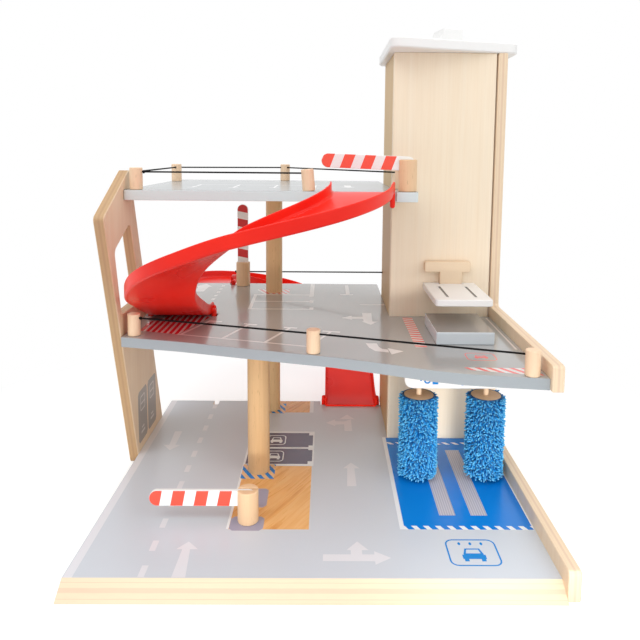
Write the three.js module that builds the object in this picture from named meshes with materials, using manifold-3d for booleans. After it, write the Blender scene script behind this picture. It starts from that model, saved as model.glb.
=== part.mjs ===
// Toy parking garage with a lift, in millimetres, +Z up.
// The model is laid out from the base board: x runs to the right from its left edge, y runs back
// from the front edge of its top, and z runs up from its top. The whole is then moved so that the
// origin is at the middle of the base board's underside.
import * as THREE from "three";
import { mergeVertices } from "three/addons/utils/BufferGeometryUtils.js";
import Module from "manifold-3d";

const wasm = await Module();
wasm.setup();

// Sheets
const PLY = 12; // every plywood sheet
const EDGE = 0.8; // chamfer on the edges of the sheets
const GAP = 0.3; // between pieces that are cut to each other
const OVERRUN = 2; // how far a cutting shape runs past what it cuts
const ROUND = 20; // facets round the larger dowels
const BASE_W = 456;
const BASE_D = 404;
const RAMP_RUN = 18; // the bevelled front edge of the base board
const STOREY = 170; // from one deck's top to the next
const BASE_LOW = -PLY;
const MID_TOP = STOREY;
const TOP_TOP = 2 * STOREY;
const MID_LOW = MID_TOP - PLY;
const TOP_LOW = TOP_TOP - PLY;
const WALL_RIGHT = BASE_W + PLY;

// Tower
const TOWER_W = 133; // from its left wall's outer face to the right side wall
const TOWER_D = 124;
const TOWER_RISE = 173; // over the top deck
const TOWER_SLOT = 2.2; // dark joint between the front panel and the right side wall
const TOWER_LEFT = BASE_W - TOWER_W;
const TOWER_FRONT = BASE_D - TOWER_D;
const TOWER_TOP = TOP_TOP + TOWER_RISE;

// Roof: how far it runs past the tower, its slanted front edge from left to right
const ROOF_T = 13;
const ROOF_PAST_LEFT = 9;
const ROOF_PAST_RIGHT = 15;
const ROOF_PAST_BACK = 12;
const ROOF_PAST_FRONT = 43;
const ROOF_SLANT = 49; // how much further back the front edge is at the right
const ROOF_CORNER = 14;
const ROOF_LEFT = TOWER_LEFT - ROOF_PAST_LEFT;
const ROOF_RIGHT = WALL_RIGHT + ROOF_PAST_RIGHT;
const ROOF_FRONT_LEFT = TOWER_FRONT - ROOF_PAST_FRONT;
const ROOF_FRONT_RIGHT = ROOF_FRONT_LEFT + ROOF_SLANT;
const ROOF_BACK = BASE_D + ROOF_PAST_BACK;

// Block on the roof
const BLOCK_IN = 68; // from the tower's left face to the block's middle
const BLOCK_UP = 59; // from the tower's back to the block's middle
const BLOCK_LENGTH = 52;
const BLOCK_WIDTH = 34;
const BLOCK_HEIGHT = 26;
const BLOCK_SCOOP = 26; // radius of the hollow flank
const BLOCK_TURN = 14; // degrees, as it stands
const SPINDLE_R = 4;
const SPINDLE_HEAD_R = 8;
const SPINDLE_HEAD_T = 4;
const BLOCK_X = TOWER_LEFT + BLOCK_IN;
const BLOCK_Y = BASE_D - BLOCK_UP;

// Decks
const DECK_OVERHANG = 76; // of both decks, behind the base board
const TOP_REACH = 80; // of the top deck, in front of the tower
const TOP_LIP = 23; // of the top deck, along the tower's front
const DECK_CORNER = 3;
const DECK_BACK = BASE_D + DECK_OVERHANG;
const TOP_FRONT = TOWER_FRONT - TOP_REACH;
const TOP_RIGHT = TOWER_LEFT + TOP_LIP;
const MID_LEFT_PAST = 22; // of the middle deck's left end, in front of the top deck
const MID_RIGHT_IN = 52; // of its right end, from the base board's front
const MID_FRONT_LEFT = TOP_FRONT - MID_LEFT_PAST;
const MID_FRONT_RIGHT = MID_RIGHT_IN;
// The middle deck's curved front edge: shares of its width, and of the way between its ends' y
const MID_FRONT_SHARES = [
  [0, 0],
  [0.1535, 0.127],
  [0.307, 0.29],
  [0.4605, 0.448],
  [0.54, 0.524],
  [0.64, 0.659],
  [0.7, 0.75],
  [0.7566, 0.833],
  [0.8224, 0.905],
  [0.91, 0.956],
  [1, 1],
];
const MID_FRONT = MID_FRONT_SHARES.map(([across, along]) => [
  across * BASE_W,
  THREE.MathUtils.lerp(MID_FRONT_LEFT, MID_FRONT_RIGHT, along),
]);

// The y of the middle deck's front edge at x.
function midFrontAt(x) {
  const next = MID_FRONT.findIndex(([at]) => at > x);
  const [x0, y0] = MID_FRONT[next - 1];
  const [x1, y1] = MID_FRONT[next];
  return THREE.MathUtils.mapLinear(x, x0, x1, y0, y1);
}

// Right side wall
const BASE_ARM_LEAD = 14; // of the base arm, in front of the base board's top
const BASE_ARM_RISE = 17;
const MID_ARM_LEAD = 5; // of the middle arm, in front of the middle deck
const ARM_CHAMFER = 5;
const ARM_RISE = 14.5; // of the middle arm over the middle deck
const ARM_FILLET = 7;
const MID_ARM_FRONT = MID_FRONT_RIGHT - MID_ARM_LEAD;

// Left side panel: it leans forward, so its places are counted from the top deck's front edge
const PANEL_FOOT_IN = 35; // of the foot's front end
const PANEL_FOOT_L = 117;
const PANEL_LEAN = 66; // of the shoulder, in front of the top deck
const PANEL_SHOULDER_DROP = 26; // under the top deck
const PANEL_PEAK_IN = 22;
const PANEL_PEAK_RISE = 22; // over the top deck
const PANEL_ROUND = 7;
const PANEL_FOOT_FRONT = TOP_FRONT + PANEL_FOOT_IN;
const PANEL_FOOT_BACK = PANEL_FOOT_FRONT + PANEL_FOOT_L;
const PANEL_SHOULDER_Y = TOP_FRONT - PANEL_LEAN;
const PANEL_SHOULDER_Z = TOP_TOP - PANEL_SHOULDER_DROP;
const PANEL_PEAK_Y = TOP_FRONT + PANEL_PEAK_IN;
const PANEL_PEAK_Z = TOP_TOP + PANEL_PEAK_RISE;
const WINDOW_ROUND = 9;
// The window's corners: y from the top deck's front edge, z as a share of the storey
const WINDOW_Y = [-34, 24, 58, -16];
const WINDOW_Z_SHARES = [0.606, 0.759, 0.147, 0.147];
const WINDOW = WINDOW_Y.map((y, i) => [TOP_FRONT + y, MID_TOP + WINDOW_Z_SHARES[i] * STOREY]);
// The decks' tenons in the panel: front and back ends, from the top deck's front edge
const TENON_TOP_Y = [4, 22];
const TENON_MID_Y = [6, 62];
const TENON_TOP = TENON_TOP_Y.map((y) => TOP_FRONT + y);
const TENON_MID = TENON_MID_Y.map((y) => TOP_FRONT + y);

// Slides
const SLIDE_BESIDE = 45.5; // from the tower to the middle of the upper slide's start
const SLIDE_MARGIN = 3.8; // from the decks' left edge to the upper slide's landing
const SLIDE_ENTRY = 12; // straight run before the turn
const SLIDE_LEG = 108;
const SLIDE_HALF = 36; // half the width where it starts
const SLIDE_FLARE = 3.5; // how much wider it is on each side where it lands
const SLIDE_WALL = 2.4;
const SLIDE_WALL_H = 15;
const SLIDE_PEG_AT = 92; // along the landing leg
const SLIDE_PEG_W = 5.2;
const SLIDE_PEG_L = 12;
const SLIDE_PEG_UP = 6;
const SLIDE_PEG_DOWN = 8;
const SLIDE_TURN_STEPS = 32;
const SLIDE_LEG_STEPS = 8;
// Where the slide's floor is: places as shares of the turn and of the leg, and the drop there
const SLIDE_TURN_SHARES = [0.127, 0.309, 0.528, 0.6615, 0.809, 0.916];
const SLIDE_LEG_SHARES = [0.333, 0.8, 1];
const SLIDE_DROP_SHARES = [0, 0.04, 0.118, 0.25, 0.382, 0.55, 0.7, 0.89, 0.992, 1];
const NOTCH_W = 8;
const NOTCH_D = 14;
const SPARE_NOTCH_X = 70.5; // left notch of the second pair in the base board
const SLIDE_END_HALF = SLIDE_HALF + SLIDE_FLARE;
const SLIDE_LAND_X = SLIDE_MARGIN + SLIDE_END_HALF + SLIDE_PEG_W;
const SLIDE_X = TOWER_LEFT - SLIDE_BESIDE;
const SLIDE_TURN_R = (SLIDE_X - SLIDE_LAND_X) / 2;

// Columns: x, y, radius
const COLUMN_FRONT_R = 13.2;
const COLUMN_REAR_R = 12.5;
const COLUMN_SET = 16; // front column, from the y of the middle deck's left front corner
const COLUMN_REAR_IN = 28; // rear column, from the base board's back edge
const COLUMN_UPPER_IN = 59; // upper column, from the decks' back edge
const COLUMN_SHARE = 0.3465; // across the base board
const COLUMN_X = COLUMN_SHARE * BASE_W;
const COLUMN_FRONT = [COLUMN_X, MID_FRONT_LEFT + COLUMN_SET, COLUMN_FRONT_R];
const COLUMN_REAR = [COLUMN_X, BASE_D - COLUMN_REAR_IN, COLUMN_REAR_R];
const COLUMN_UPPER = [COLUMN_X, DECK_BACK - COLUMN_UPPER_IN, COLUMN_REAR_R];

// Fence
const POST_R = 7.5;
const POST_H = 26;
const POST_CHAMFER = 1;
const POST_IN = 9; // from a deck's edge to a post's middle
const POST_BY_PANEL = 13; // the same beside the left side panel
const CORD_R = 1;
const CORD_HEIGHT = 21; // over the deck
const CORD_BEND = 4; // how far from a post's middle the cord starts to bend
const CORD_BEND_STEPS = 4;
const CORD_SIDES = 8;
const CORD_HOLE_R = 2.2;
const BACK_CORD_BEHIND = 6.5; // of the back barrier post's hole, behind the post's middle
const BACK_CORD_RISE = 37; // over the middle deck, where the back cord meets the tower
const TOP_TAIL_TURN = 90; // degrees from the right, which way the top cord's first end leaves
const MID_TAIL_TURNS = [107, 60]; // the same for the middle front cord's two ends
const KNOT_R = 2.1;
const KNOT_HALF = 1.4;
const POST_BY_SLIDE = 19.3; // from the upper slide's side to the post at its left
const POST_EDGE_IN = 8.5; // of the left back post, from the deck's left edge
const POST_BACK_IN = 55; // of the left back post, from the deck's back edge
const POST_MID_BACK_IN = 12; // of the middle back post
const POST_MID_SHARE = 0.5325; // of the way from the left edge to the tower
const POST_TOWER_IN = 18; // in front of the tower
const MID_POST_SHARE = 0.493; // of the middle front post, across the deck
const MID_POST_RIGHT_IN = 15;
const POST_LEAN = -5; // degrees, the top front middle post leans to the left
const BACK_CORD_IN = 12; // of the back cord's hole, from the tower's back
const TOP_POSTS = {
  front_mid: [SLIDE_X - SLIDE_HALF - SLIDE_PEG_W - POST_BY_SLIDE, TOP_FRONT + POST_IN],
  front_left: [POST_BY_PANEL, TOP_FRONT + POST_IN],
  back_left: [POST_EDGE_IN, DECK_BACK - POST_BACK_IN],
  back_mid: [POST_MID_SHARE * TOWER_LEFT, DECK_BACK - POST_MID_BACK_IN],
  back_right: [TOWER_LEFT + POST_IN, TOWER_FRONT - POST_TOWER_IN],
};
const MID_POST_X = MID_POST_SHARE * BASE_W;
const MID_POSTS = {
  front_left: [POST_BY_PANEL, MID_FRONT_LEFT + POST_IN],
  front_mid: [MID_POST_X, midFrontAt(MID_POST_X) + POST_IN],
  front_right: [BASE_W - MID_POST_RIGHT_IN, MID_FRONT_RIGHT + POST_IN],
};
const BACK_CORD_WALL_Y = BASE_D - BACK_CORD_IN;

// Barriers
const BARRIER_R = 11;
const BARRIER_TALL = 38;
const BARRIER_SHORT = 35; // the one on the base board
const BARRIER_SLOT = 5.4;
const BARRIER_DROP = 9.5; // from the top of the post down to the pin
const BARRIER_TOP_DROP = 5; // the same on the top deck, where the arm stands proud
const BARRIER_PIN_R = 1.5;
const ARM_T = 4.6;
const ARM_H = 17;
const ARM_REACH = 103; // from the pin to the tip
const ARM_HOLE_R = 1.9;
const TOP_ARM_LIFT = 2; // degrees over level, as it stands
const BARRIER_BASE_IN = 89; // from the base board's front
const BARRIER_TOP_IN = 13.5; // from the top deck's front edge
const BARRIER_TOWER_IN = 11.3; // past the tower's left face
const BARRIER_BACK_IN = 14; // from the middle deck's back edge
const BARRIER_BY_SLIDE = 14.3; // from the lower slide's side
const BARRIER_BASE = [COLUMN_X, BARRIER_BASE_IN];
const BARRIER_TOP = [TOWER_LEFT + BARRIER_TOWER_IN, TOP_FRONT + BARRIER_TOP_IN];
const BARRIER_BACK = [
  SLIDE_LAND_X + SLIDE_HALF + SLIDE_PEG_W + BARRIER_BY_SLIDE,
  DECK_BACK - BARRIER_BACK_IN,
];

// Wash
const DOWEL_R = 3;
const DOWEL_SEAT = 6; // how far the dowels go into the base board and the sign board
const WASHER_R = 8;
const CORE_R = 17.5;
const CORE_BORE_R = 3.5;
const BACKING_T = 1.8;
const PILE_R = 23;
const PILE_ROOT = 2.9;
const PILE_TIP = 2.1;
const PILE_SIDES = 3;
const PILE_ROWS = 15;
const PILE_ROUND = 10;
const ROLLER_IN = 26.5; // from the right side wall, and from the tower's left face
const ROLLER_AHEAD = 96; // in front of the tower
const ROLLER_BOTTOM = 4;
const ROLLER_HEADROOM = 8.5; // under the sign board
const SIGN_H = 48.5;
const SIGN_T = 10;
const SIGN_CORNER = 12;
const SIGN_IN = 8.5;
const SIGN_LEFT = TOWER_LEFT + SIGN_IN;
const SIGN_RIGHT = BASE_W - SIGN_IN;
const SIGN_BOTTOM = MID_LOW - SIGN_H;
const ROLLER_X = [TOWER_LEFT + ROLLER_IN, BASE_W - ROLLER_IN];
const ROLLER_Y = TOWER_FRONT - ROLLER_AHEAD;
const ROLLER_TOP = SIGN_BOTTOM - ROLLER_HEADROOM;

// Lift
const LIFT_T = 8;
const LIFT_REACH = 99; // of the platform, in front of the tower
const LIFT_RISE = 46; // of the platform over the middle deck, as it stands
const LIFT_W = 68;
const LIFT_IN = 22; // from the right side wall
const LIFT_RIGHT = BASE_W - LIFT_IN;
const LIFT_LEFT = LIFT_RIGHT - LIFT_W;
const LIFT_FRONT = TOWER_FRONT - LIFT_REACH;
const LIFT_TOP = MID_TOP + LIFT_RISE;
const BOARD_T = 8;
const BOARD_GAP = 0.4; // to the tower's front panel
const BAR_LEFT_IN = 1; // from the platform's sides
const BAR_RIGHT_IN = 7;
const BAR_OVER = 15; // over the platform
const BAR_H = 14;
const STEM_LEFT_IN = 21;
const STEM_RIGHT_IN = 18;
const BAR_LEFT = LIFT_LEFT + BAR_LEFT_IN;
const BAR_RIGHT = LIFT_RIGHT - BAR_RIGHT_IN;
const BAR_BOTTOM = LIFT_TOP + BAR_OVER;
const BAR_TOP = BAR_BOTTOM + BAR_H;
const STEM_LEFT = LIFT_LEFT + STEM_LEFT_IN;
const STEM_RIGHT = LIFT_RIGHT - STEM_RIGHT_IN;
const RELIEF_R = 2.4;
const TRACK_W = 3.2;
const TRACK_D = 1.2;
const TRACK_INSET = 17; // from the platform's sides
const TRACK_FROM = 15; // from the platform's front
const TRACK_LONG = 58;
const MAGNET_R = 5;
const MAGNET_T = 3.4;
const MAGNET_Z = [LIFT_TOP + BOARD_GAP, (BAR_BOTTOM + BAR_TOP) / 2];
const STRIP_W = 24;
const STRIP_T = 1.5;
const STRIP_UP = 18; // over the middle deck
const STRIP_PAST = 30; // over the top deck
const STRIP_BOTTOM = MID_TOP + STRIP_UP;
const STRIP_TOP = TOP_TOP + STRIP_PAST;
const LANDING_PAST_LEFT = 2.5; // past the platform's left side
const LANDING_PAST_FRONT = 25;
const LANDING_IN_RIGHT = 4.5;
const LANDING_IN_BACK = 40; // from the tower
const LANDING_H = 14.7;
const LANDING = [
  LIFT_LEFT - LANDING_PAST_LEFT,
  LIFT_FRONT - LANDING_PAST_FRONT,
  LIFT_RIGHT - LANDING_IN_RIGHT,
  TOWER_FRONT - LANDING_IN_BACK,
];

// Screws in the right side wall: y, z
const SCREW_R = 4;
const SCREW_HEAD = 0.9;
const SCREW_RIM_SHARE = 0.8;
const SCREW_ALONG = 42; // from the ends of the arms
const SCREW_BACK_IN = 14; // from the tower's back
const SCREW_UP = 60;
const SCREW_DOWN = 43; // under the roof
const SCREWS = {
  base_front: [SCREW_ALONG, BASE_LOW / 2],
  base_back: [TOWER_FRONT - SCREW_ALONG, BASE_LOW / 2],
  mid_front: [MID_ARM_FRONT + SCREW_ALONG, MID_LOW + PLY / 2],
  mid_back: [TOWER_FRONT - SCREW_ALONG, MID_LOW + PLY / 2],
  tower_low: [BASE_D - SCREW_BACK_IN, SCREW_UP],
  tower_high: [BASE_D - SCREW_BACK_IN, TOWER_TOP - SCREW_DOWN],
};

const AXIS_X = new THREE.Vector3(1, 0, 0);
const AXIS_Y = new THREE.Vector3(0, 1, 0);
const AXIS_Z = new THREE.Vector3(0, 0, 1);
const rad = THREE.MathUtils.degToRad;

function material(colour, roughness, metalness) {
  return new THREE.MeshStandardMaterial({ color: colour, roughness, metalness });
}
const PLYWOOD = material(0xe6cda5, 0.6, 0);
const BEECH = material(0xdfb98a, 0.55, 0);
const BASE_PRINT = material(0xc3c3c9, 0.35, 0);
const MID_PRINT = material(0x9ea1a4, 0.3, 0);
const TOP_PRINT = material(0xbcc2c4, 0.35, 0);
const WHITE = material(0xf2f2f2, 0.45, 0);
const BARRIER_PAINT = material(0xe8483a, 0.4, 0);
const RED_PLASTIC = material(0xe0201f, 0.3, 0);
const BLUE_PILE = material(0x2f86d8, 0.95, 0);
const GREY_PAINT = material(0x8f979b, 0.4, 0);
const BLACK_CORD = material(0x151515, 0.8, 0);
const STEEL = material(0xb8b8b8, 0.35, 1);

// Turns a closed geometry into a solid for joining and cutting.
function solid(geometry) {
  const bare = geometry.index ? geometry.toNonIndexed() : geometry.clone();
  const only = new THREE.BufferGeometry();
  only.setAttribute("position", bare.getAttribute("position"));
  const merged = mergeVertices(only, 1e-4);
  const made = new wasm.Manifold(
    new wasm.Mesh({
      numProp: 3,
      vertProperties: merged.attributes.position.array,
      triVerts: new Uint32Array(merged.index.array),
    }),
  );
  if (made.volume() >= 0) return made;
  const turned = Uint32Array.from(merged.index.array);
  for (let i = 0; i < turned.length; i += 3) [turned[i], turned[i + 1]] = [turned[i + 1], turned[i]];
  return new wasm.Manifold(
    new wasm.Mesh({
      numProp: 3,
      vertProperties: merged.attributes.position.array,
      triVerts: turned,
    }),
  );
}

function geometryOf(manifold) {
  const mesh = manifold.getMesh();
  const geometry = new THREE.BufferGeometry();
  const positions = new Float32Array(mesh.numVert * 3);
  for (let i = 0; i < mesh.numVert; i++) {
    positions.set(mesh.vertProperties.subarray(i * mesh.numProp, i * mesh.numProp + 3), i * 3);
  }
  geometry.setAttribute("position", new THREE.BufferAttribute(positions, 3));
  geometry.setIndex(new THREE.BufferAttribute(Uint32Array.from(mesh.triVerts), 1));
  geometry.computeVertexNormals();
  return geometry;
}

// Cuts the geometries of the list out of the first one.
function cut(geometry, cutters) {
  let made = solid(geometry);
  for (const cutter of cutters) made = made.subtract(solid(cutter));
  return geometryOf(made);
}

function join(geometries) {
  return geometryOf(wasm.Manifold.union(geometries.map(solid)));
}

// A box between two corners.
function block(x0, y0, z0, x1, y1, z1) {
  const geometry = new THREE.BoxGeometry(x1 - x0, y1 - y0, z1 - z0);
  geometry.translate((x0 + x1) / 2, (y0 + y1) / 2, (z0 + z1) / 2);
  return geometry;
}

// A closed outline through the corners, each rounded by its radius.
function rounded(corners) {
  const shape = new THREE.Shape();
  const count = corners.length;
  corners.forEach(([x, y, r], i) => {
    const here = new THREE.Vector2(x, y);
    if (!r) {
      if (i === 0) shape.moveTo(x, y);
      else shape.lineTo(x, y);
      return;
    }
    const [px, py] = corners[(i + count - 1) % count];
    const [nx, ny] = corners[(i + 1) % count];
    const before = new THREE.Vector2(px, py).sub(here).normalize();
    const after = new THREE.Vector2(nx, ny).sub(here).normalize();
    const half = Math.acos(before.dot(after)) / 2;
    const back = r / Math.tan(half);
    const a = here.clone().addScaledVector(before, back);
    const b = here.clone().addScaledVector(after, back);
    if (i === 0) shape.moveTo(a.x, a.y);
    else shape.lineTo(a.x, a.y);
    shape.quadraticCurveTo(x, y, b.x, b.y);
  });
  shape.closePath();
  return shape;
}

// A sheet of the outline, from height 0 to its thickness, with chamfered edges.
function sheet(shape, thickness, chamfer, segments) {
  const geometry = new THREE.ExtrudeGeometry(shape, {
    depth: thickness - 2 * chamfer,
    bevelEnabled: chamfer > 0,
    bevelThickness: chamfer,
    bevelSize: chamfer,
    bevelOffset: -chamfer,
    bevelSegments: 1,
    curveSegments: segments,
  });
  geometry.translate(0, 0, chamfer);
  return geometry;
}

// Stands a sheet up: its outline's first axis along y, its second along z, its thickness along x.
function standSide(geometry, x) {
  geometry.applyMatrix4(new THREE.Matrix4().makeBasis(AXIS_Y, AXIS_Z, AXIS_X));
  geometry.translate(x, 0, 0);
  return geometry;
}

// Stands a sheet up with its outline along x and z, and its front face at y.
function standFront(geometry, thickness, y) {
  const back = AXIS_Y.clone().negate();
  geometry.applyMatrix4(new THREE.Matrix4().makeBasis(AXIS_X, AXIS_Z, back));
  geometry.translate(0, y + thickness, 0);
  return geometry;
}

// An upright round bar from height 0.
function bar(radius, height, chamfer, sides) {
  const profile = [
    new THREE.Vector2(0, 0),
    new THREE.Vector2(radius - chamfer, 0),
    new THREE.Vector2(radius, chamfer),
    new THREE.Vector2(radius, height - chamfer),
    new THREE.Vector2(radius - chamfer, height),
    new THREE.Vector2(0, height),
  ];
  const kept = chamfer > 0 ? profile : [profile[0], profile[2], profile[3], profile[5]];
  const geometry = new THREE.LatheGeometry(kept, sides);
  geometry.rotateX(Math.PI / 2);
  return geometryOf(solid(geometry));
}

// A round rod between two points.
function rod(from, to, radius, sides) {
  const way = to.clone().sub(from);
  const geometry = new THREE.CylinderGeometry(radius, radius, way.length(), sides);
  geometry.applyQuaternion(
    new THREE.Quaternion().setFromUnitVectors(AXIS_Y, way.clone().normalize()),
  );
  const middle = from.clone().add(to).multiplyScalar(1 / 2);
  geometry.translate(middle.x, middle.y, middle.z);
  return geometry;
}

const garage = new THREE.Group();
const body = new THREE.Group();
body.position.set(-BASE_W / 2, -(BASE_D - RAMP_RUN) / 2, PLY);
garage.add(body);

function add(name, geometry, look, x, y, z) {
  const mesh = new THREE.Mesh(geometry, look);
  mesh.name = name;
  mesh.position.set(x || 0, y || 0, z || 0);
  body.add(mesh);
  return mesh;
}

// Base board: its side outline has the bevelled front edge, cut by the slides' notches at the
// back and by the seats of the roller dowels.
{
  const side = rounded([
    [-RAMP_RUN, BASE_LOW],
    [BASE_D, BASE_LOW],
    [BASE_D, 0],
    [0, 0],
  ]);
  const board = standSide(sheet(side, BASE_W, 0, 1), 0);
  const notches = [];
  const pegs = [SLIDE_END_HALF + SLIDE_PEG_W / 2, -SLIDE_END_HALF - SLIDE_PEG_W / 2];
  const spare = SPARE_NOTCH_X + SLIDE_END_HALF + SLIDE_PEG_W / 2;
  for (const middle of [SLIDE_X, spare]) {
    for (const side of pegs) {
      notches.push(
        block(
          middle + side - NOTCH_W / 2,
          BASE_D - NOTCH_D,
          BASE_LOW - OVERRUN,
          middle + side + NOTCH_W / 2,
          BASE_D + OVERRUN,
          OVERRUN,
        ),
      );
    }
  }
  const seats = ROLLER_X.map((x) => {
    const seat = bar(DOWEL_R + GAP, DOWEL_SEAT + OVERRUN, 0, ROUND);
    seat.translate(x, ROLLER_Y, -DOWEL_SEAT);
    return seat;
  });
  add("base_board", cut(board, [...notches, ...seats]), BASE_PRINT);
}

// Right side wall: one sheet with the tower wall, the middle arm and the base arm.
{
  const outline = rounded([
    [-BASE_ARM_LEAD, BASE_LOW],
    [BASE_D, BASE_LOW],
    [BASE_D, TOWER_TOP],
    [TOWER_FRONT, TOWER_TOP],
    [TOWER_FRONT, MID_TOP + ARM_RISE, ARM_FILLET],
    [MID_ARM_FRONT, MID_TOP + ARM_RISE, ARM_CHAMFER],
    [MID_ARM_FRONT, MID_LOW],
    [TOWER_FRONT, MID_LOW, ARM_FILLET],
    [TOWER_FRONT, BASE_ARM_RISE, ARM_FILLET],
    [-BASE_ARM_LEAD, BASE_ARM_RISE, ARM_CHAMFER],
  ]);
  add("right_side_wall", standSide(sheet(outline, PLY, EDGE, 3), BASE_W), PLYWOOD);
}

// Left side panel: leans forward, with a window and the slots of the decks' tenons.
{
  const outline = rounded([
    [PANEL_FOOT_FRONT, BASE_LOW, PANEL_ROUND / 2],
    [PANEL_FOOT_BACK, BASE_LOW],
    [PANEL_PEAK_Y + PANEL_ROUND, PANEL_PEAK_Z, PANEL_ROUND / 2],
    [PANEL_PEAK_Y, PANEL_PEAK_Z, PANEL_ROUND / 2],
    [PANEL_SHOULDER_Y, PANEL_SHOULDER_Z, PANEL_ROUND],
  ]);
  const window = rounded(WINDOW.map(([y, z]) => [y, z, WINDOW_ROUND]));
  outline.holes.push(new THREE.Path(window.getPoints(4)));
  const panel = standSide(sheet(outline, PLY, EDGE, 4), -PLY);
  const slots = [
    [TENON_TOP, TOP_LOW],
    [TENON_MID, MID_LOW],
  ].map(([[front, back], low]) =>
    block(
      -PLY - OVERRUN,
      front - GAP,
      low - GAP,
      OVERRUN,
      back + GAP,
      low + PLY + GAP,
    ),
  );
  add("left_side_panel", cut(panel, slots), PLYWOOD);
}

// Notches, as corner lists, where a slide's two pegs hook into a deck edge at height y.
function notchCorners(middle, y, inward, forward) {
  const list = [];
  const sides = [
    middle - SLIDE_HALF - SLIDE_PEG_W / 2,
    middle + SLIDE_HALF + SLIDE_PEG_W / 2,
  ];
  for (const x of sides) {
    list.push([x - NOTCH_W / 2, y]);
    list.push([x - NOTCH_W / 2, y + inward]);
    list.push([x + NOTCH_W / 2, y + inward]);
    list.push([x + NOTCH_W / 2, y]);
  }
  return forward ? list : list.reverse();
}

// Middle deck: curved front edge, a bay for the tower, a tenon in the left side panel.
{
  const start = SLIDE_X - 2 * SLIDE_TURN_R;
  const corners = [
    ...MID_FRONT,
    [BASE_W, TOWER_FRONT],
    [TOWER_LEFT, TOWER_FRONT],
    [TOWER_LEFT, DECK_BACK, DECK_CORNER],
    ...notchCorners(start, DECK_BACK, -NOTCH_D, false),
    [0, DECK_BACK],
    [0, TENON_MID[1]],
    [-PLY, TENON_MID[1]],
    [-PLY, TENON_MID[0]],
    [0, TENON_MID[0]],
  ];
  const deck = sheet(rounded(corners), PLY, 0, 3);
  deck.translate(0, 0, MID_LOW);
  const pegY = TOP_FRONT + SLIDE_PEG_AT - SLIDE_ENTRY;
  const holes = [-1, 1].map((side) => {
    const x = start + side * (SLIDE_END_HALF + SLIDE_PEG_W / 2);
    return block(
      x - NOTCH_W / 2,
      pegY - NOTCH_D / 2,
      MID_LOW - OVERRUN,
      x + NOTCH_W / 2,
      pegY + NOTCH_D / 2,
      MID_TOP + OVERRUN,
    );
  });
  add("mid_deck", cut(deck, holes), MID_PRINT);
}

// Top deck: runs past the tower's left wall and round its front.
{
  const corners = [
    [0, TOP_FRONT, DECK_CORNER],
    ...notchCorners(SLIDE_X, TOP_FRONT, NOTCH_D, true),
    [TOP_RIGHT, TOP_FRONT, DECK_CORNER],
    [TOP_RIGHT, TOWER_FRONT],
    [TOWER_LEFT, TOWER_FRONT],
    [TOWER_LEFT, DECK_BACK, DECK_CORNER],
    [0, DECK_BACK, DECK_CORNER],
    [0, TENON_TOP[1]],
    [-PLY, TENON_TOP[1]],
    [-PLY, TENON_TOP[0]],
    [0, TENON_TOP[0]],
  ];
  const deck = sheet(rounded(corners), PLY, 0, 3);
  deck.translate(0, 0, TOP_LOW);
  add("top_deck", geometryOf(solid(deck)), TOP_PRINT);
}

// Tower: front panel, left wall and roof. The right side wall closes its other side.
{
  const right = BASE_W - TOWER_SLOT;
  const front = rounded([
    [TOWER_LEFT, 0],
    [right, 0],
    [right, TOWER_TOP],
    [TOWER_LEFT, TOWER_TOP],
  ]);
  add("tower_front_panel", standFront(sheet(front, PLY, EDGE, 1), PLY, TOWER_FRONT), PLYWOOD);
  const left = rounded([
    [TOWER_FRONT + PLY, 0],
    [BASE_D, 0],
    [BASE_D, TOWER_TOP],
    [TOWER_FRONT + PLY, TOWER_TOP],
  ]);
  const wall = standSide(sheet(left, PLY, EDGE, 1), TOWER_LEFT);
  const from = new THREE.Vector3(
    TOWER_LEFT - OVERRUN,
    BACK_CORD_WALL_Y,
    MID_TOP + BACK_CORD_RISE,
  );
  const to = from.clone().setX(TOWER_LEFT + PLY + OVERRUN);
  add("tower_left_wall", cut(wall, [rod(from, to, CORD_HOLE_R, 12)]), PLYWOOD);
  const roof = sheet(
    rounded([
      [ROOF_LEFT, ROOF_FRONT_LEFT, ROOF_CORNER],
      [ROOF_RIGHT, ROOF_FRONT_RIGHT, ROOF_CORNER],
      [ROOF_RIGHT, ROOF_BACK, ROOF_CORNER],
      [ROOF_LEFT, ROOF_BACK, ROOF_CORNER],
    ]),
    ROOF_T,
    2 * EDGE,
    5,
  );
  roof.translate(0, 0, TOWER_TOP);
  const hole = bar(SPINDLE_R + GAP, ROOF_T + 2 * OVERRUN, 0, ROUND);
  hole.translate(BLOCK_X, BLOCK_Y, TOWER_TOP - OVERRUN);
  add("tower_roof", cut(roof, [hole]), WHITE);
}

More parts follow.
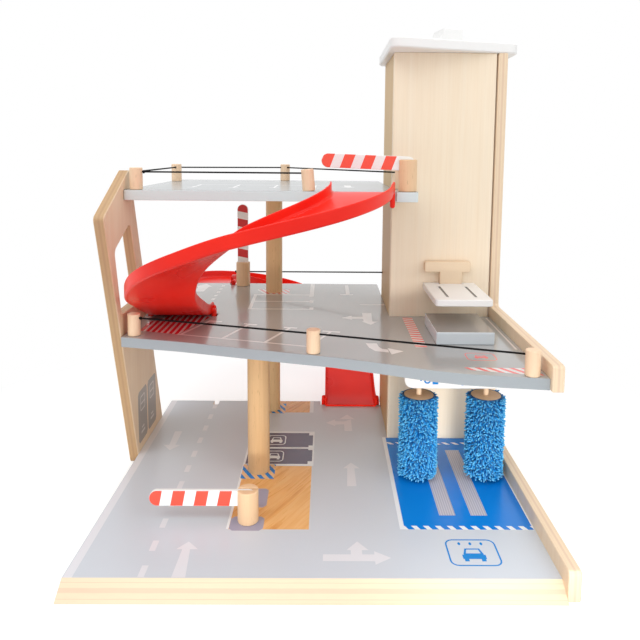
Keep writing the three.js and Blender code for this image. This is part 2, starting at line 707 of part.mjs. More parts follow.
// Block on the roof, with one hollow flank, on a spindle through the roof.
{
  const outline = rounded([
    [-BLOCK_LENGTH / 2, -BLOCK_WIDTH / 2],
    [BLOCK_LENGTH / 2, -BLOCK_WIDTH / 2],
    [BLOCK_LENGTH / 2, BLOCK_WIDTH / 2],
    [-BLOCK_LENGTH / 2, BLOCK_WIDTH / 2],
  ]);
  const plain = sheet(outline, BLOCK_HEIGHT, EDGE, 1);
  const scoop = rod(
    new THREE.Vector3(-BLOCK_LENGTH / 2, -BLOCK_WIDTH, BLOCK_SCOOP + 2 * EDGE),
    new THREE.Vector3(-BLOCK_LENGTH / 2, BLOCK_WIDTH, BLOCK_SCOOP + 2 * EDGE),
    BLOCK_SCOOP - 2 * EDGE,
    48,
  );
  const socket = bar(SPINDLE_R + GAP, BLOCK_HEIGHT / 2 + OVERRUN, 0, ROUND);
  socket.translate(0, 0, -OVERRUN);
  const top = TOWER_TOP + ROOF_T + GAP;
  const grip = add("roof_block", cut(plain, [scoop, socket]), WHITE, BLOCK_X, BLOCK_Y, top);
  grip.rotation.z = rad(BLOCK_TURN);
  const head = bar(SPINDLE_HEAD_R, SPINDLE_HEAD_T, EDGE, ROUND);
  const low = TOWER_TOP - GAP - SPINDLE_HEAD_T;
  const reach = top + BLOCK_HEIGHT / 2 - low - GAP;
  const shank = bar(SPINDLE_R, reach - SPINDLE_HEAD_T / 2, 0, ROUND);
  shank.translate(0, 0, SPINDLE_HEAD_T / 2);
  add("roof_spindle", join([head, shank]), BEECH, BLOCK_X, BLOCK_Y, low);
}

// Columns between the base board and the decks.
for (const [name, [x, y, r], low, high] of [
  ["column_front_lower", COLUMN_FRONT, 0, MID_LOW],
  ["column_rear_lower", COLUMN_REAR, 0, MID_LOW],
  ["column_rear_upper", COLUMN_UPPER, MID_TOP, TOP_LOW],
]) {
  add(name, bar(r, high - low, 0, ROUND), BEECH, x, y, low);
}

// A cord through the points, rounded where it bends inside a post, with a knot at each end.
function cordRun(points) {
  const stations = [];
  const last = points.length - 1;
  const ways = points.slice(1).map((point, i) => point.clone().sub(points[i]).normalize());
  const mark = (point, way, radius) => stations.push([point, way, radius]);
  mark(points[0], ways[0], KNOT_R);
  const tied = points[0].clone().addScaledVector(ways[0], 2 * KNOT_HALF);
  mark(tied, ways[0], KNOT_R);
  mark(tied, ways[0], CORD_R);
  for (let i = 1; i < last; i++) {
    const into = points[i].clone().addScaledVector(ways[i - 1], -CORD_BEND);
    const out = points[i].clone().addScaledVector(ways[i], CORD_BEND);
    const bend = new THREE.QuadraticBezierCurve3(into, points[i], out);
    for (let k = 0; k <= CORD_BEND_STEPS; k++) {
      const t = k / CORD_BEND_STEPS;
      mark(bend.getPoint(t), bend.getTangent(t), CORD_R);
    }
  }
  const far = points[last].clone().addScaledVector(ways[last - 1], -2 * KNOT_HALF);
  mark(far, ways[last - 1], CORD_R);
  mark(far, ways[last - 1], KNOT_R);
  mark(points[last], ways[last - 1], KNOT_R);
  const positions = [];
  for (const [point, way, radius] of stations) {
    const side = way.clone().cross(AXIS_Z).normalize();
    const up = side.clone().cross(way);
    for (let j = 0; j < CORD_SIDES; j++) {
      const angle = (2 * Math.PI * (j + 1 / 2)) / CORD_SIDES;
      const at = point.clone().addScaledVector(side, radius * Math.cos(angle));
      at.addScaledVector(up, radius * Math.sin(angle));
      positions.push(...at);
    }
  }
  const index = [];
  for (let i = 0; i < stations.length - 1; i++) {
    for (let j = 0; j < CORD_SIDES; j++) {
      const a = i * CORD_SIDES + j;
      const b = i * CORD_SIDES + ((j + 1) % CORD_SIDES);
      index.push(a, b, b + CORD_SIDES, a, b + CORD_SIDES, a + CORD_SIDES);
    }
  }
  const end = (stations.length - 1) * CORD_SIDES;
  for (let j = 1; j < CORD_SIDES - 1; j++) {
    index.push(0, j + 1, j);
    index.push(end, end + j, end + j + 1);
  }
  const geometry = new THREE.BufferGeometry();
  geometry.setAttribute("position", new THREE.Float32BufferAttribute(positions, 3));
  geometry.setIndex(index);
  return geometryOf(solid(geometry));
}

function tail(degrees) {
  return new THREE.Vector3(Math.cos(rad(degrees)), Math.sin(rad(degrees)), 0);
}

function postPoint(list, name, deck) {
  const [x, y] = list[name];
  return new THREE.Vector3(x, y, deck + CORD_HEIGHT);
}

// A fence post with a hole towards each point that its cord comes from.
function fencePost(name, list, key, deck, towards, lean) {
  const [x, y] = list[key];
  const here = postPoint(list, key, deck);
  const post = bar(POST_R, POST_H, POST_CHAMFER, 16);
  if (lean) {
    post.translate(0, 0, -OVERRUN);
    post.rotateY(rad(lean));
  }
  post.translate(x, y, deck);
  const cutters = towards.map((point) => {
    const way = point.clone().sub(here).normalize();
    const far = here.clone().addScaledVector(way, 2 * POST_R);
    const near = here.clone().addScaledVector(way, -CORD_HOLE_R / 2);
    return rod(near, far, CORD_HOLE_R, 12);
  });
  if (lean) {
    const reach = 2 * POST_R;
    cutters.push(
      block(x - reach, y - reach, deck - reach, x + reach, y + reach, deck + GAP),
    );
  }
  add(name, cut(post, cutters), BEECH);
}

// Top deck fence: one cord from the front middle post round the left side to the tower.
{
  const order = ["front_mid", "front_left", "back_left", "back_mid", "back_right"];
  const points = order.map((key) => postPoint(TOP_POSTS, key, TOP_TOP));
  order.forEach((key, i) => {
    const towards = [points[i - 1], points[i + 1]].filter(Boolean);
    if (i === 0) {
      towards.push(points[i].clone().add(tail(TOP_TAIL_TURN)));
    }
    if (i === order.length - 1) {
      const way = points[i].clone().sub(towards[0]);
      towards.push(points[i].clone().add(way));
    }
    fencePost("top_post_" + key, TOP_POSTS, key, TOP_TOP, towards, i === 0 ? POST_LEAN : 0);
  });
  const beyond = (end, way) =>
    end.clone().addScaledVector(way.normalize(), POST_R + GAP + 2 * KNOT_HALF);
  const first = beyond(points[0], tail(TOP_TAIL_TURN));
  const last = beyond(points[4], points[4].clone().sub(points[3]));
  const cord = cordRun([first, ...points.slice(0, -1), last]);
  add("top_cord", cord, BLACK_CORD);
}

// Middle deck fence: the front cord through three posts.
{
  const order = ["front_left", "front_mid", "front_right"];
  const points = order.map((key) => postPoint(MID_POSTS, key, MID_TOP));
  order.forEach((key, i) => {
    const towards = [points[i - 1], points[i + 1]].filter(Boolean);
    if (towards.length < 2) {
      towards.push(points[i].clone().add(tail(MID_TAIL_TURNS[i / 2])));
    }
    fencePost("mid_post_" + key, MID_POSTS, key, MID_TOP, towards, 0);
  });
  const ends = MID_TAIL_TURNS.map((turn, i) =>
    points[2 * i].clone().addScaledVector(tail(turn), POST_R + GAP + 2 * KNOT_HALF),
  );
  add("mid_front_cord", cordRun([ends[0], ...points, ends[1]]), BLACK_CORD);
}

// Barriers: a slotted post, a striped arm on a cross pin. Each arm is drawn level to the left.
function barrier(name, [x, y], deck, height, drop, corded, turn) {
  const post = bar(BARRIER_R, height, POST_CHAMFER, ROUND);
  const pinZ = height - drop;
  const reach = BARRIER_R + OVERRUN;
  const cutters = [
    block(
      -reach,
      -BARRIER_SLOT / 2,
      pinZ - ARM_H / 2 - GAP,
      reach,
      BARRIER_SLOT / 2,
      height + OVERRUN,
    ),
    rod(
      new THREE.Vector3(0, -reach, pinZ),
      new THREE.Vector3(0, reach, pinZ),
      BARRIER_PIN_R + GAP,
      12,
    ),
  ];
  if (corded) {
    const far = new THREE.Vector3(reach, BACK_CORD_BEHIND, CORD_HEIGHT);
    cutters.push(rod(far.clone().setX(-reach), far, CORD_HOLE_R, 12));
  }
  add(name + "_post", cut(post, cutters), BEECH, x, y, deck);
  const outline = new THREE.Shape();
  outline.absarc(0, 0, ARM_H / 2, -Math.PI / 2, Math.PI / 2, false);
  outline.absarc(-ARM_REACH + ARM_H / 2, 0, ARM_H / 2, Math.PI / 2, (3 * Math.PI) / 2, false);
  outline.closePath();
  const hole = new THREE.Path();
  hole.absarc(0, 0, ARM_HOLE_R, 0, 2 * Math.PI, true);
  outline.holes.push(hole);
  const arm = standFront(sheet(outline, ARM_T, EDGE / 2, 6), ARM_T, -ARM_T / 2);
  const armMesh = add(name + "_arm", arm, BARRIER_PAINT, x, y, deck + pinZ);
  armMesh.rotation.y = rad(turn);
  const half = BARRIER_R - 2 * EDGE;
  const pin = rod(
    new THREE.Vector3(0, -half, 0),
    new THREE.Vector3(0, half, 0),
    BARRIER_PIN_R,
    16,
  );
  add(name + "_pin", pin, STEEL, x, y, deck + pinZ);
}
barrier("base_barrier", BARRIER_BASE, 0, BARRIER_SHORT, BARRIER_DROP, false, 0);
barrier(
  "top_barrier",
  BARRIER_TOP,
  TOP_TOP,
  BARRIER_TALL,
  BARRIER_TOP_DROP,
  false,
  TOP_ARM_LIFT,
);
barrier("back_barrier", BARRIER_BACK, MID_TOP, BARRIER_TALL, BARRIER_DROP, true, 90);

// Middle deck's back cord: from the back barrier post to the tower's left wall.
{
  const z = MID_TOP + CORD_HEIGHT;
  const x = BARRIER_BACK[0];
  const y = BARRIER_BACK[1] + BACK_CORD_BEHIND;
  const out = BARRIER_R + GAP + 2 * KNOT_HALF;
  const start = new THREE.Vector3(x - out, y, z);
  const through = new THREE.Vector3(x + BARRIER_R + POST_R, y, z);
  const height = MID_TOP + BACK_CORD_RISE;
  const bend = new THREE.Vector3(TOWER_LEFT - POST_R, BACK_CORD_WALL_Y, height);
  const end = bend.clone().setX(TOWER_LEFT + PLY + GAP + 2 * KNOT_HALF);
  add("mid_back_cord", cordRun([start, through, bend, end]), BLACK_CORD);
}

// Slides: a U channel swept along a half turn and a landing leg. In its own frame it starts at
// the origin, heads to -y, turns round (-SLIDE_TURN_R, 0) and lands on a leg towards +y.
function curveThrough(xs, ys) {
  const n = xs.length;
  const step = xs.slice(1).map((x, i) => (ys[i + 1] - ys[i]) / (x - xs[i]));
  const slope = xs.map((_, i) => {
    if (i === 0) return step[0] / 2;
    if (i === n - 1) return 0;
    return (2 * step[i - 1] * step[i]) / (step[i - 1] + step[i] || 1);
  });
  return (x) => {
    let i = 0;
    while (i < n - 2 && x > xs[i + 1]) i++;
    const h = xs[i + 1] - xs[i];
    const t = (x - xs[i]) / h;
    const a = 2 * t ** 3 - 3 * t ** 2 + 1;
    const b = t ** 3 - 2 * t ** 2 + t;
    const c = -2 * t ** 3 + 3 * t ** 2;
    const d = t ** 3 - t ** 2;
    return a * ys[i] + b * h * slope[i] + c * ys[i + 1] + d * h * slope[i + 1];
  };
}

function slideGeometry() {
  const turn = Math.PI * SLIDE_TURN_R;
  const run = SLIDE_ENTRY + turn + SLIDE_LEG;
  const places = [
    0,
    ...SLIDE_TURN_SHARES.map((share) => SLIDE_ENTRY + share * turn),
    ...SLIDE_LEG_SHARES.map((share) => SLIDE_ENTRY + turn + share * SLIDE_LEG),
  ];
  const fallAt = curveThrough(places, SLIDE_DROP_SHARES);
  const drop = STOREY - SLIDE_WALL - GAP;
  const stations = [{ s: 0, x: 0, y: 0, side: [1, 0] }];
  for (let i = 0; i <= SLIDE_TURN_STEPS; i++) {
    const angle = (Math.PI * i) / SLIDE_TURN_STEPS;
    stations.push({
      s: SLIDE_ENTRY + SLIDE_TURN_R * angle,
      x: -SLIDE_TURN_R + SLIDE_TURN_R * Math.cos(angle),
      y: -SLIDE_ENTRY - SLIDE_TURN_R * Math.sin(angle),
      side: [Math.cos(angle), -Math.sin(angle)],
    });
  }
  for (let i = 1; i <= SLIDE_LEG_STEPS; i++) {
    const along = (SLIDE_LEG * i) / SLIDE_LEG_STEPS;
    stations.push({
      s: SLIDE_ENTRY + turn + along,
      x: -2 * SLIDE_TURN_R,
      y: along - SLIDE_ENTRY,
      side: [-1, 0],
    });
  }
  const w = SLIDE_WALL;
  const up = SLIDE_WALL_H - w;
  // Section of half width h, outer side positive, floor's top at height 0
  const sectionOf = (h) => [
    [-h, -w],
    [h, -w],
    [h, up],
    [h - w, up],
    [h - w, 0],
    [-h + w, 0],
    [-h + w, up],
    [-h, up],
  ];
  const section = sectionOf(SLIDE_HALF);
  const caps = THREE.ShapeUtils.triangulateShape(
    section.map(([a, b]) => new THREE.Vector2(a, b)),
    [],
  );
  const positions = [];
  for (const station of stations) {
    const z = -drop * fallAt(station.s);
    const half = THREE.MathUtils.lerp(SLIDE_HALF, SLIDE_END_HALF, station.s / run);
    for (const [a, b] of sectionOf(half)) {
      positions.push(station.x + a * station.side[0], station.y + a * station.side[1], z + b);
    }
  }
  const n = section.length;
  const index = [];
  for (let i = 0; i < stations.length - 1; i++) {
    for (let j = 0; j < n; j++) {
      const a = i * n + j;
      const b = i * n + ((j + 1) % n);
      index.push(a, b, b + n, a, b + n, a + n);
    }
  }
  const last = (stations.length - 1) * n;
  for (const [a, b, c] of caps) {
    index.push(a, c, b);
    index.push(last + a, last + b, last + c);
  }
  const channel = new THREE.BufferGeometry();
  channel.setAttribute("position", new THREE.Float32BufferAttribute(positions, 3));
  channel.setIndex(index);
  const pieces = [channel];
  const spans = (half, side) => {
    const inner = side * (half - w / 2);
    const outer = side * (half + SLIDE_PEG_W);
    return [Math.min(inner, outer), Math.max(inner, outer)];
  };
  for (const side of [-1, 1]) {
    const [x0, x1] = spans(SLIDE_HALF, side);
    const [x2, x3] = spans(SLIDE_END_HALF, side);
    // Hooks over the edge that it starts from
    pieces.push(
      block(
        x0,
        -SLIDE_PEG_L / 2,
        -PLY - SLIDE_PEG_DOWN,
        x1,
        SLIDE_PEG_L / 2,
        SLIDE_PEG_UP,
      ),
    );
    // Pegs at the landing
    const low = -STOREY - SLIDE_PEG_DOWN;
    pieces.push(
      block(
        -2 * SLIDE_TURN_R + x2,
        SLIDE_PEG_AT - SLIDE_ENTRY - SLIDE_PEG_L / 2,
        low,
        -2 * SLIDE_TURN_R + x3,
        SLIDE_PEG_AT - SLIDE_ENTRY + SLIDE_PEG_L / 2,
        -STOREY + SLIDE_PEG_UP + SLIDE_WALL,
      ),
    );
  }
  return join(pieces);
}
{
  const upper = add("upper_slide", slideGeometry(), RED_PLASTIC);
  upper.position.set(SLIDE_X, TOP_FRONT - GAP, TOP_TOP);
  const lower = add("lower_slide", slideGeometry(), RED_PLASTIC);
  lower.position.set(SLIDE_X - 2 * SLIDE_TURN_R, DECK_BACK + GAP, MID_TOP);
  lower.rotation.z = Math.PI;
}

// Wash: the sign board under the middle deck carries the dowels that the rollers turn on.
{
  const outline = rounded([
    [SIGN_LEFT, SIGN_BOTTOM, SIGN_CORNER],
    [SIGN_RIGHT, SIGN_BOTTOM, SIGN_CORNER],
    [SIGN_RIGHT, MID_LOW],
    [SIGN_LEFT, MID_LOW],
  ]);
  const board = standFront(sheet(outline, SIGN_T, EDGE, 5), SIGN_T, ROLLER_Y - SIGN_T / 2);
  const seats = ROLLER_X.map((x) => {
    const seat = bar(DOWEL_R + GAP, DOWEL_SEAT + OVERRUN, 0, ROUND);
    seat.translate(x, ROLLER_Y, SIGN_BOTTOM - OVERRUN);
    return seat;
  });
  add("wash_sign_board", cut(board, seats), WHITE);
}

// The blue pile of a roller: short tufts in staggered rows on a thin backing sleeve.
function pile() {
  const height = ROLLER_TOP - ROLLER_BOTTOM;
  const inner = CORE_R + GAP;
  const outer = inner + BACKING_T;
  const sleeve = new THREE.LatheGeometry(
    [
      new THREE.Vector2(inner, 0),
      new THREE.Vector2(outer, 0),
      new THREE.Vector2(outer, height),
      new THREE.Vector2(inner, height),
      new THREE.Vector2(inner, 0),
    ],
    2 * PILE_ROUND,
  );
  sleeve.rotateX(Math.PI / 2);
  const from = inner + BACKING_T / 2;
  const length = PILE_R - from;
  const tufts = [solid(sleeve)];
  for (let row = 0; row < PILE_ROWS; row++) {
    for (let i = 0; i < PILE_ROUND; i++) {
      const tuft = new THREE.CylinderGeometry(PILE_TIP, PILE_ROOT, length, PILE_SIDES, 1);
      tuft.rotateY(row + i);
      tuft.rotateZ(-Math.PI / 2);
      tuft.translate(from + length / 2, 0, 0);
      tuft.rotateZ((2 * Math.PI * (i + (row % 2) / 2 + 1 / 4)) / PILE_ROUND);
      tuft.translate(0, 0, (height * (row + 1 / 2)) / PILE_ROWS);
      tufts.push(solid(tuft));
    }
  }
  return geometryOf(wasm.Manifold.union(tufts));
}
ROLLER_X.forEach((x, i) => {
  const side = i === 0 ? "left" : "right";
  const dowelLow = GAP - DOWEL_SEAT;
  const dowelTop = SIGN_BOTTOM + DOWEL_SEAT - GAP;
  const dowel = bar(DOWEL_R, dowelTop - dowelLow, 0, 16);
  add("roller_dowel_" + side, dowel, BEECH, x, ROLLER_Y, dowelLow);
  const hole = bar(DOWEL_R + GAP, 2 * ROLLER_BOTTOM + OVERRUN, 0, 16);
  hole.translate(0, 0, -OVERRUN);
  const washer = cut(bar(WASHER_R, ROLLER_BOTTOM - GAP, 0, ROUND), [hole]);
  add("roller_washer_" + side, washer, BEECH, x, ROLLER_Y, 0);
  const height = ROLLER_TOP - ROLLER_BOTTOM;
  const bore = bar(CORE_BORE_R, height + 2 * OVERRUN, 0, 16);
  bore.translate(0, 0, -OVERRUN);
  const core = cut(bar(CORE_R, height, EDGE, 2 * PILE_ROUND), [bore]);
  add("roller_core_" + side, core, BEECH, x, ROLLER_Y, ROLLER_BOTTOM);
  add("roller_cover_" + side, pile(), BLUE_PILE, x, ROLLER_Y, ROLLER_BOTTOM);
});

// Lift: the platform, notched round the stem of the T-shaped back board.
{
  const boardFront = TOWER_FRONT - BOARD_GAP - BOARD_T;
  const boardBack = TOWER_FRONT - BOARD_GAP;
  const plain = sheet(
    rounded([
      [LIFT_LEFT, LIFT_FRONT, ARM_CHAMFER],
      [LIFT_RIGHT, LIFT_FRONT, ARM_CHAMFER],
      [LIFT_RIGHT, boardBack],
      [LIFT_LEFT, boardBack],
    ]),
    LIFT_T,
    EDGE,
    4,
  );
  plain.translate(0, 0, LIFT_TOP - LIFT_T);
  const low = LIFT_TOP - LIFT_T - OVERRUN;
  const high = LIFT_TOP + OVERRUN;
  const notch = block(
    STEM_LEFT - GAP,
    boardFront - GAP,
    low,
    STEM_RIGHT + GAP,
    boardBack + OVERRUN,
    high,
  );
  const reliefs = [STEM_LEFT - GAP, STEM_RIGHT + GAP].map((x) => {
    const relief = bar(RELIEF_R, high - low, 0, 12);
    relief.translate(x, boardFront - GAP, low);
    return relief;
  });
  const tracks = [LIFT_LEFT + TRACK_INSET, LIFT_RIGHT - TRACK_INSET].map((x) =>
    block(
      x - TRACK_W / 2,
      LIFT_FRONT + TRACK_FROM,
      LIFT_TOP - TRACK_D,
      x + TRACK_W / 2,
      LIFT_FRONT + TRACK_FROM + TRACK_LONG,
      high,
    ),
  );
  add("lift_platform", cut(plain, [notch, ...reliefs, ...tracks]), WHITE);
  const tee = rounded([
    [STEM_LEFT, LIFT_TOP - LIFT_T],
    [STEM_RIGHT, LIFT_TOP - LIFT_T],
    [STEM_RIGHT, BAR_BOTTOM],
    [BAR_RIGHT, BAR_BOTTOM, DECK_CORNER],
    [BAR_RIGHT, BAR_TOP, DECK_CORNER],
    [BAR_LEFT, BAR_TOP, DECK_CORNER],
    [BAR_LEFT, BAR_BOTTOM, DECK_CORNER],
    [STEM_LEFT, BAR_BOTTOM],
  ]);
  const board = standFront(sheet(tee, BOARD_T, EDGE, 4), BOARD_T, boardFront);
  const stemX = (STEM_LEFT + STEM_RIGHT) / 2;
  const pockets = MAGNET_Z.map((z) =>
    rod(
      new THREE.Vector3(stemX, boardBack - MAGNET_T - GAP, z),
      new THREE.Vector3(stemX, boardBack + OVERRUN, z),
      MAGNET_R + GAP,
      ROUND,
    ),
  );
  add("lift_back_board", cut(board, pockets), PLYWOOD);
  MAGNET_Z.forEach((z, i) => {
    const magnet = rod(
      new THREE.Vector3(0, 0, 0),
      new THREE.Vector3(0, MAGNET_T, 0),
      MAGNET_R,
      ROUND,
    );
    const name = i === 0 ? "lift_magnet_low" : "lift_magnet_high";
    add(name, magnet, STEEL, stemX, boardBack - MAGNET_T, z);
  });
  const strip = block(
    stemX - STRIP_W / 2,
    TOWER_FRONT + PLY,
    STRIP_BOTTOM,
    stemX + STRIP_W / 2,
    TOWER_FRONT + PLY + STRIP_T,
    STRIP_TOP,
  );
  add("lift_steel_strip", strip, STEEL);
}

// Grey landing block under the lift, on the middle deck.
{
  const [x0, y0, x1, y1] = LANDING;
  const outline = rounded([
    [x0, y0],
    [x1, y0],
    [x1, y1],
    [x0, y1],
  ]);
  const made = sheet(outline, LANDING_H, EDGE, 1);
  made.translate(0, 0, MID_TOP);
  add("landing_block", made, GREY_PAINT);
}

// Screws in the right side wall: thin domed heads on its outer face.
for (const [name, [y, z]] of Object.entries(SCREWS)) {
  const head = new THREE.LatheGeometry(
    [
      new THREE.Vector2(0, 0),
      new THREE.Vector2(SCREW_R, 0),
      new THREE.Vector2(SCREW_R * SCREW_RIM_SHARE, SCREW_HEAD * SCREW_RIM_SHARE),
      new THREE.Vector2(0, SCREW_HEAD),
    ],
    20,
  );
  head.rotateZ(-Math.PI / 2);
  add("wall_screw_" + name, geometryOf(solid(head)), STEEL, WALL_RIGHT, y, z);
}

export default garage;
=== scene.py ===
"""A toy parking garage with a lift, dressed over its CAD frame.

Shapes are modelled in millimetres from the left front corner of the base board's printed top:
x to the right, y to the back, z up. make() scales them and puts them in the CAD's place.
"""

import random
from math import cos, pi, radians, sin, sqrt

import bmesh
import bpy
from mathutils import Matrix, Vector


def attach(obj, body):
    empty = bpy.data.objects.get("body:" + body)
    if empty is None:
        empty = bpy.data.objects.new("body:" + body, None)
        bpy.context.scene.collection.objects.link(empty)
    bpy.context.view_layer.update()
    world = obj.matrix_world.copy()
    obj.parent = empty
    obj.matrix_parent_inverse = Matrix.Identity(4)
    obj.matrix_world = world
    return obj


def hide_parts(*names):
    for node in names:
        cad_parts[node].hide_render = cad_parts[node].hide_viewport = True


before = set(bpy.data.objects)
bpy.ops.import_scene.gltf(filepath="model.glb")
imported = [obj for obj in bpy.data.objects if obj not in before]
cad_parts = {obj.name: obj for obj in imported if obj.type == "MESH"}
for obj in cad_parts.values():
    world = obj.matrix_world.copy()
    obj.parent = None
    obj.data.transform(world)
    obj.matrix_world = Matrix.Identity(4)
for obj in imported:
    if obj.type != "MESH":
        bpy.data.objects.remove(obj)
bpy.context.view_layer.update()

MM = 0.001
CORNER = Vector((-228, -193, 12))  # the base board's corner, in the CAD's frame
PLACE = Matrix.Scale(MM, 4) @ Matrix.Translation(CORNER)

PLY = 12
MID_TOP = 170
TOP_TOP = 340
BASE_W = 456
TOWER_LEFT = 323
TOWER_FRONT = 280
SIGN_FRONT = 179
CORD_HEIGHT = 21
CORD_HOLE_R = 1.5
POST_R = 7.5
POST_HEIGHT = 26
BARRIER_HEIGHT = 38
ARM_LENGTH = 103
ARM_R = 8.5
ARM_THICK = 4.6
STRIPE_STEP = 24.35
PILE_R = (18.3, 23.1)
GROOVE_X = (383, 417)
PLATFORM_TOP = 216
COLUMN_X = 158
ROLLER_Y = 184
SPINDLE = (391, 345)
SCREW_R = 4
SCREW_RISE = 0.9
SHARP = 60  # degrees, over which an edge is eased

PICTURE = 640
SENSOR = 36
FOCAL = 619.37
CENTRE = (330.9, 221.11)
EYE = (0.00908, -0.71777, 0.39773)
PITCH, YAW, ROLL = (radians(a) for a in (6.338, 0.488, 0.508))


def spot(x, y, z):
    """A point of the toy, in metres in the CAD's frame."""
    return PLACE @ Vector((x, y, z))


def placed(name, data):
    """A new object in the scene."""
    thing = bpy.data.objects.new(name, data)
    bpy.context.scene.collection.objects.link(thing)
    return thing


# ---- camera


def stand_camera():
    """The camera at the photograph's viewing angle; its centre and focal length are in pixels."""
    right = Vector((cos(YAW), -sin(YAW), 0))
    flat = cos(PITCH)
    ahead = Vector((sin(YAW) * flat, cos(YAW) * flat, -sin(PITCH)))
    down = ahead.cross(right)
    level = cos(ROLL) * right - sin(ROLL) * down
    down = sin(ROLL) * right + cos(ROLL) * down
    lens = bpy.data.cameras.new("camera")
    lens.sensor_width = SENSOR
    lens.lens = FOCAL * SENSOR / PICTURE
    lens.shift_x = (PICTURE / 2 - CENTRE[0]) / PICTURE
    lens.shift_y = (CENTRE[1] - PICTURE / 2) / PICTURE
    lens.clip_start, lens.clip_end = 0.02, 50
    camera = placed("camera", lens)
    turn = Matrix((level, -down, -ahead)).transposed().to_4x4()
    camera.matrix_world = Matrix.Translation(EYE) @ turn
    bpy.context.scene.camera = camera


stand_camera()
bpy.context.scene.view_settings.view_transform = "Standard"


# ---- finishes


class Graph:
    """The shader nodes of a material or world."""

    def __init__(self, owner, bare=False):
        owner.use_nodes = True
        self.nodes, self.links = owner.node_tree.nodes, owner.node_tree.links
        if bare:
            self.nodes.clear()

    def node(self, kind, sockets=None, **settings):
        made = self.nodes.new("ShaderNode" + kind)
        for key, value in settings.items():
            setattr(made, key, value)
        for key, value in (sockets or {}).items():
            if isinstance(value, bpy.types.NodeSocket):
                self.links.new(value, made.inputs[key])
            else:
                made.inputs[key].default_value = value
        return made

    def maths(self, operation, *values):
        return self.node("Math", dict(enumerate(values)), operation=operation).outputs[0]

    def line(self, value, slope, start):
        """slope times the value, plus start."""
        return self.maths("MULTIPLY_ADD", value, slope, start)

    def blend(self, share, first, second):
        """Light from the second shader by that share, and from the first for the rest."""
        return self.node("MixShader", {0: share, 1: first, 2: second}).outputs[0]

    def rays(self, first, *others):
        """1 for rays of these kinds, and 0 for the rest."""
        path = self.node("LightPath").outputs
        share = path[first]
        for kind in others:
            share = self.maths("MAXIMUM", share, path[kind])
        return share


class Finish(Graph):
    """One material, built node by node over the toy's own coordinates in metres."""

    def __init__(self, name, **values):
        self.material = bpy.data.materials.new(name)
        super().__init__(self.material)
        self.shader = self.nodes["Principled BSDF"]
        for socket, value in values.items():
            self.shader.inputs[socket.replace("_", " ")].default_value = value
        self.place = self.node("TexCoord").outputs["Object"]

    def stretched(self, scale, move=(0, 0, 0)):
        sockets = {"Vector": self.place, "Scale": scale, "Location": move}
        return self.node("Mapping", sockets).outputs["Vector"]

    def seen_from(self, centre, turn, scale):
        """Coordinates from another centre, turned and in units of another size."""
        sockets = {"Vector": self.place, "Location": centre, "Rotation": turn, "Scale": scale}
        return self.node("Mapping", sockets, vector_type="TEXTURE").outputs["Vector"]

    def noise(self, scale, detail=3, rough=0.55, warp=0, move=(0, 0, 0)):
        scale = scale if isinstance(scale, tuple) else (scale,) * 3
        sockets = {
            "Vector": self.stretched(scale, move=move), "Scale": 1, "Detail": detail,
            "Roughness": rough, "Distortion": warp,
        }
        return self.node("TexNoise", sockets).outputs["Fac"]

    def ramp(self, value, stops):
        made = self.node("ValToRGB", {"Fac": value})
        ramp = made.color_ramp
        for at, _ in stops[2:]:
            ramp.elements.new(at)
        for element, (at, colour) in zip(ramp.elements, sorted(stops)):
            element.position = at
            element.color = (*colour, 1) if isinstance(colour, tuple) else (colour,) * 3 + (1,)
        return made.outputs["Color"]

    def mixed(self, share, first, second, blend="MIX"):
        pair = [(*c, 1) if isinstance(c, tuple) else c for c in (first, second)]
        sockets = {0: share, 6: pair[0], 7: pair[1]}
        return self.node("Mix", sockets, data_type="RGBA", blend_type=blend).outputs[2]

    def axis(self, which, vector=None):
        made = self.node("SeparateXYZ", {"Vector": vector or self.place})
        return made.outputs["XYZ".index(which)]

    def bump(self, height, depth, strength, before=None):
        """Raises the surface by depth, in metres, where height is 1."""
        sockets = {"Height": height, "Distance": depth, "Strength": strength}
        if before:
            sockets["Normal"] = before
        return self.node("Bump", sockets).outputs["Normal"]

    def end(self, colour, rough, height, depth, strength, before=None):
        normal = self.bump(height, depth, strength, before)
        for socket, value in zip(("Base Color", "Roughness", "Normal"), (colour, rough, normal)):
            if value is not None:
                self.links.new(value, self.shader.inputs[socket])
        return self.material


def wood_face(finish, grain, light, dark, fleck):
    """Colour and height of a planed wooden face whose grain runs along that axis."""
    along = "XYZ".index(grain)

    def run(across, down):
        return tuple(down if i == along else across for i in range(3))

    broad = finish.noise(run(38, 2.2), 4, 0.6, 0.6)
    fibre = finish.noise(run(420, 9), 5, 0.7)
    bands = finish.noise(run(110, 3.5), 3, 0.5, 0.9, (3, 1, 2))
    figure = finish.mixed(0.5, broad, bands)
    tone = finish.ramp(figure, [(0.3, light), (0.72, dark)])
    shade = finish.ramp(fibre, [(0.32, tuple(0.86 * c for c in dark)), (0.58, light)])
    return finish.mixed(fleck, tone, shade), fibre


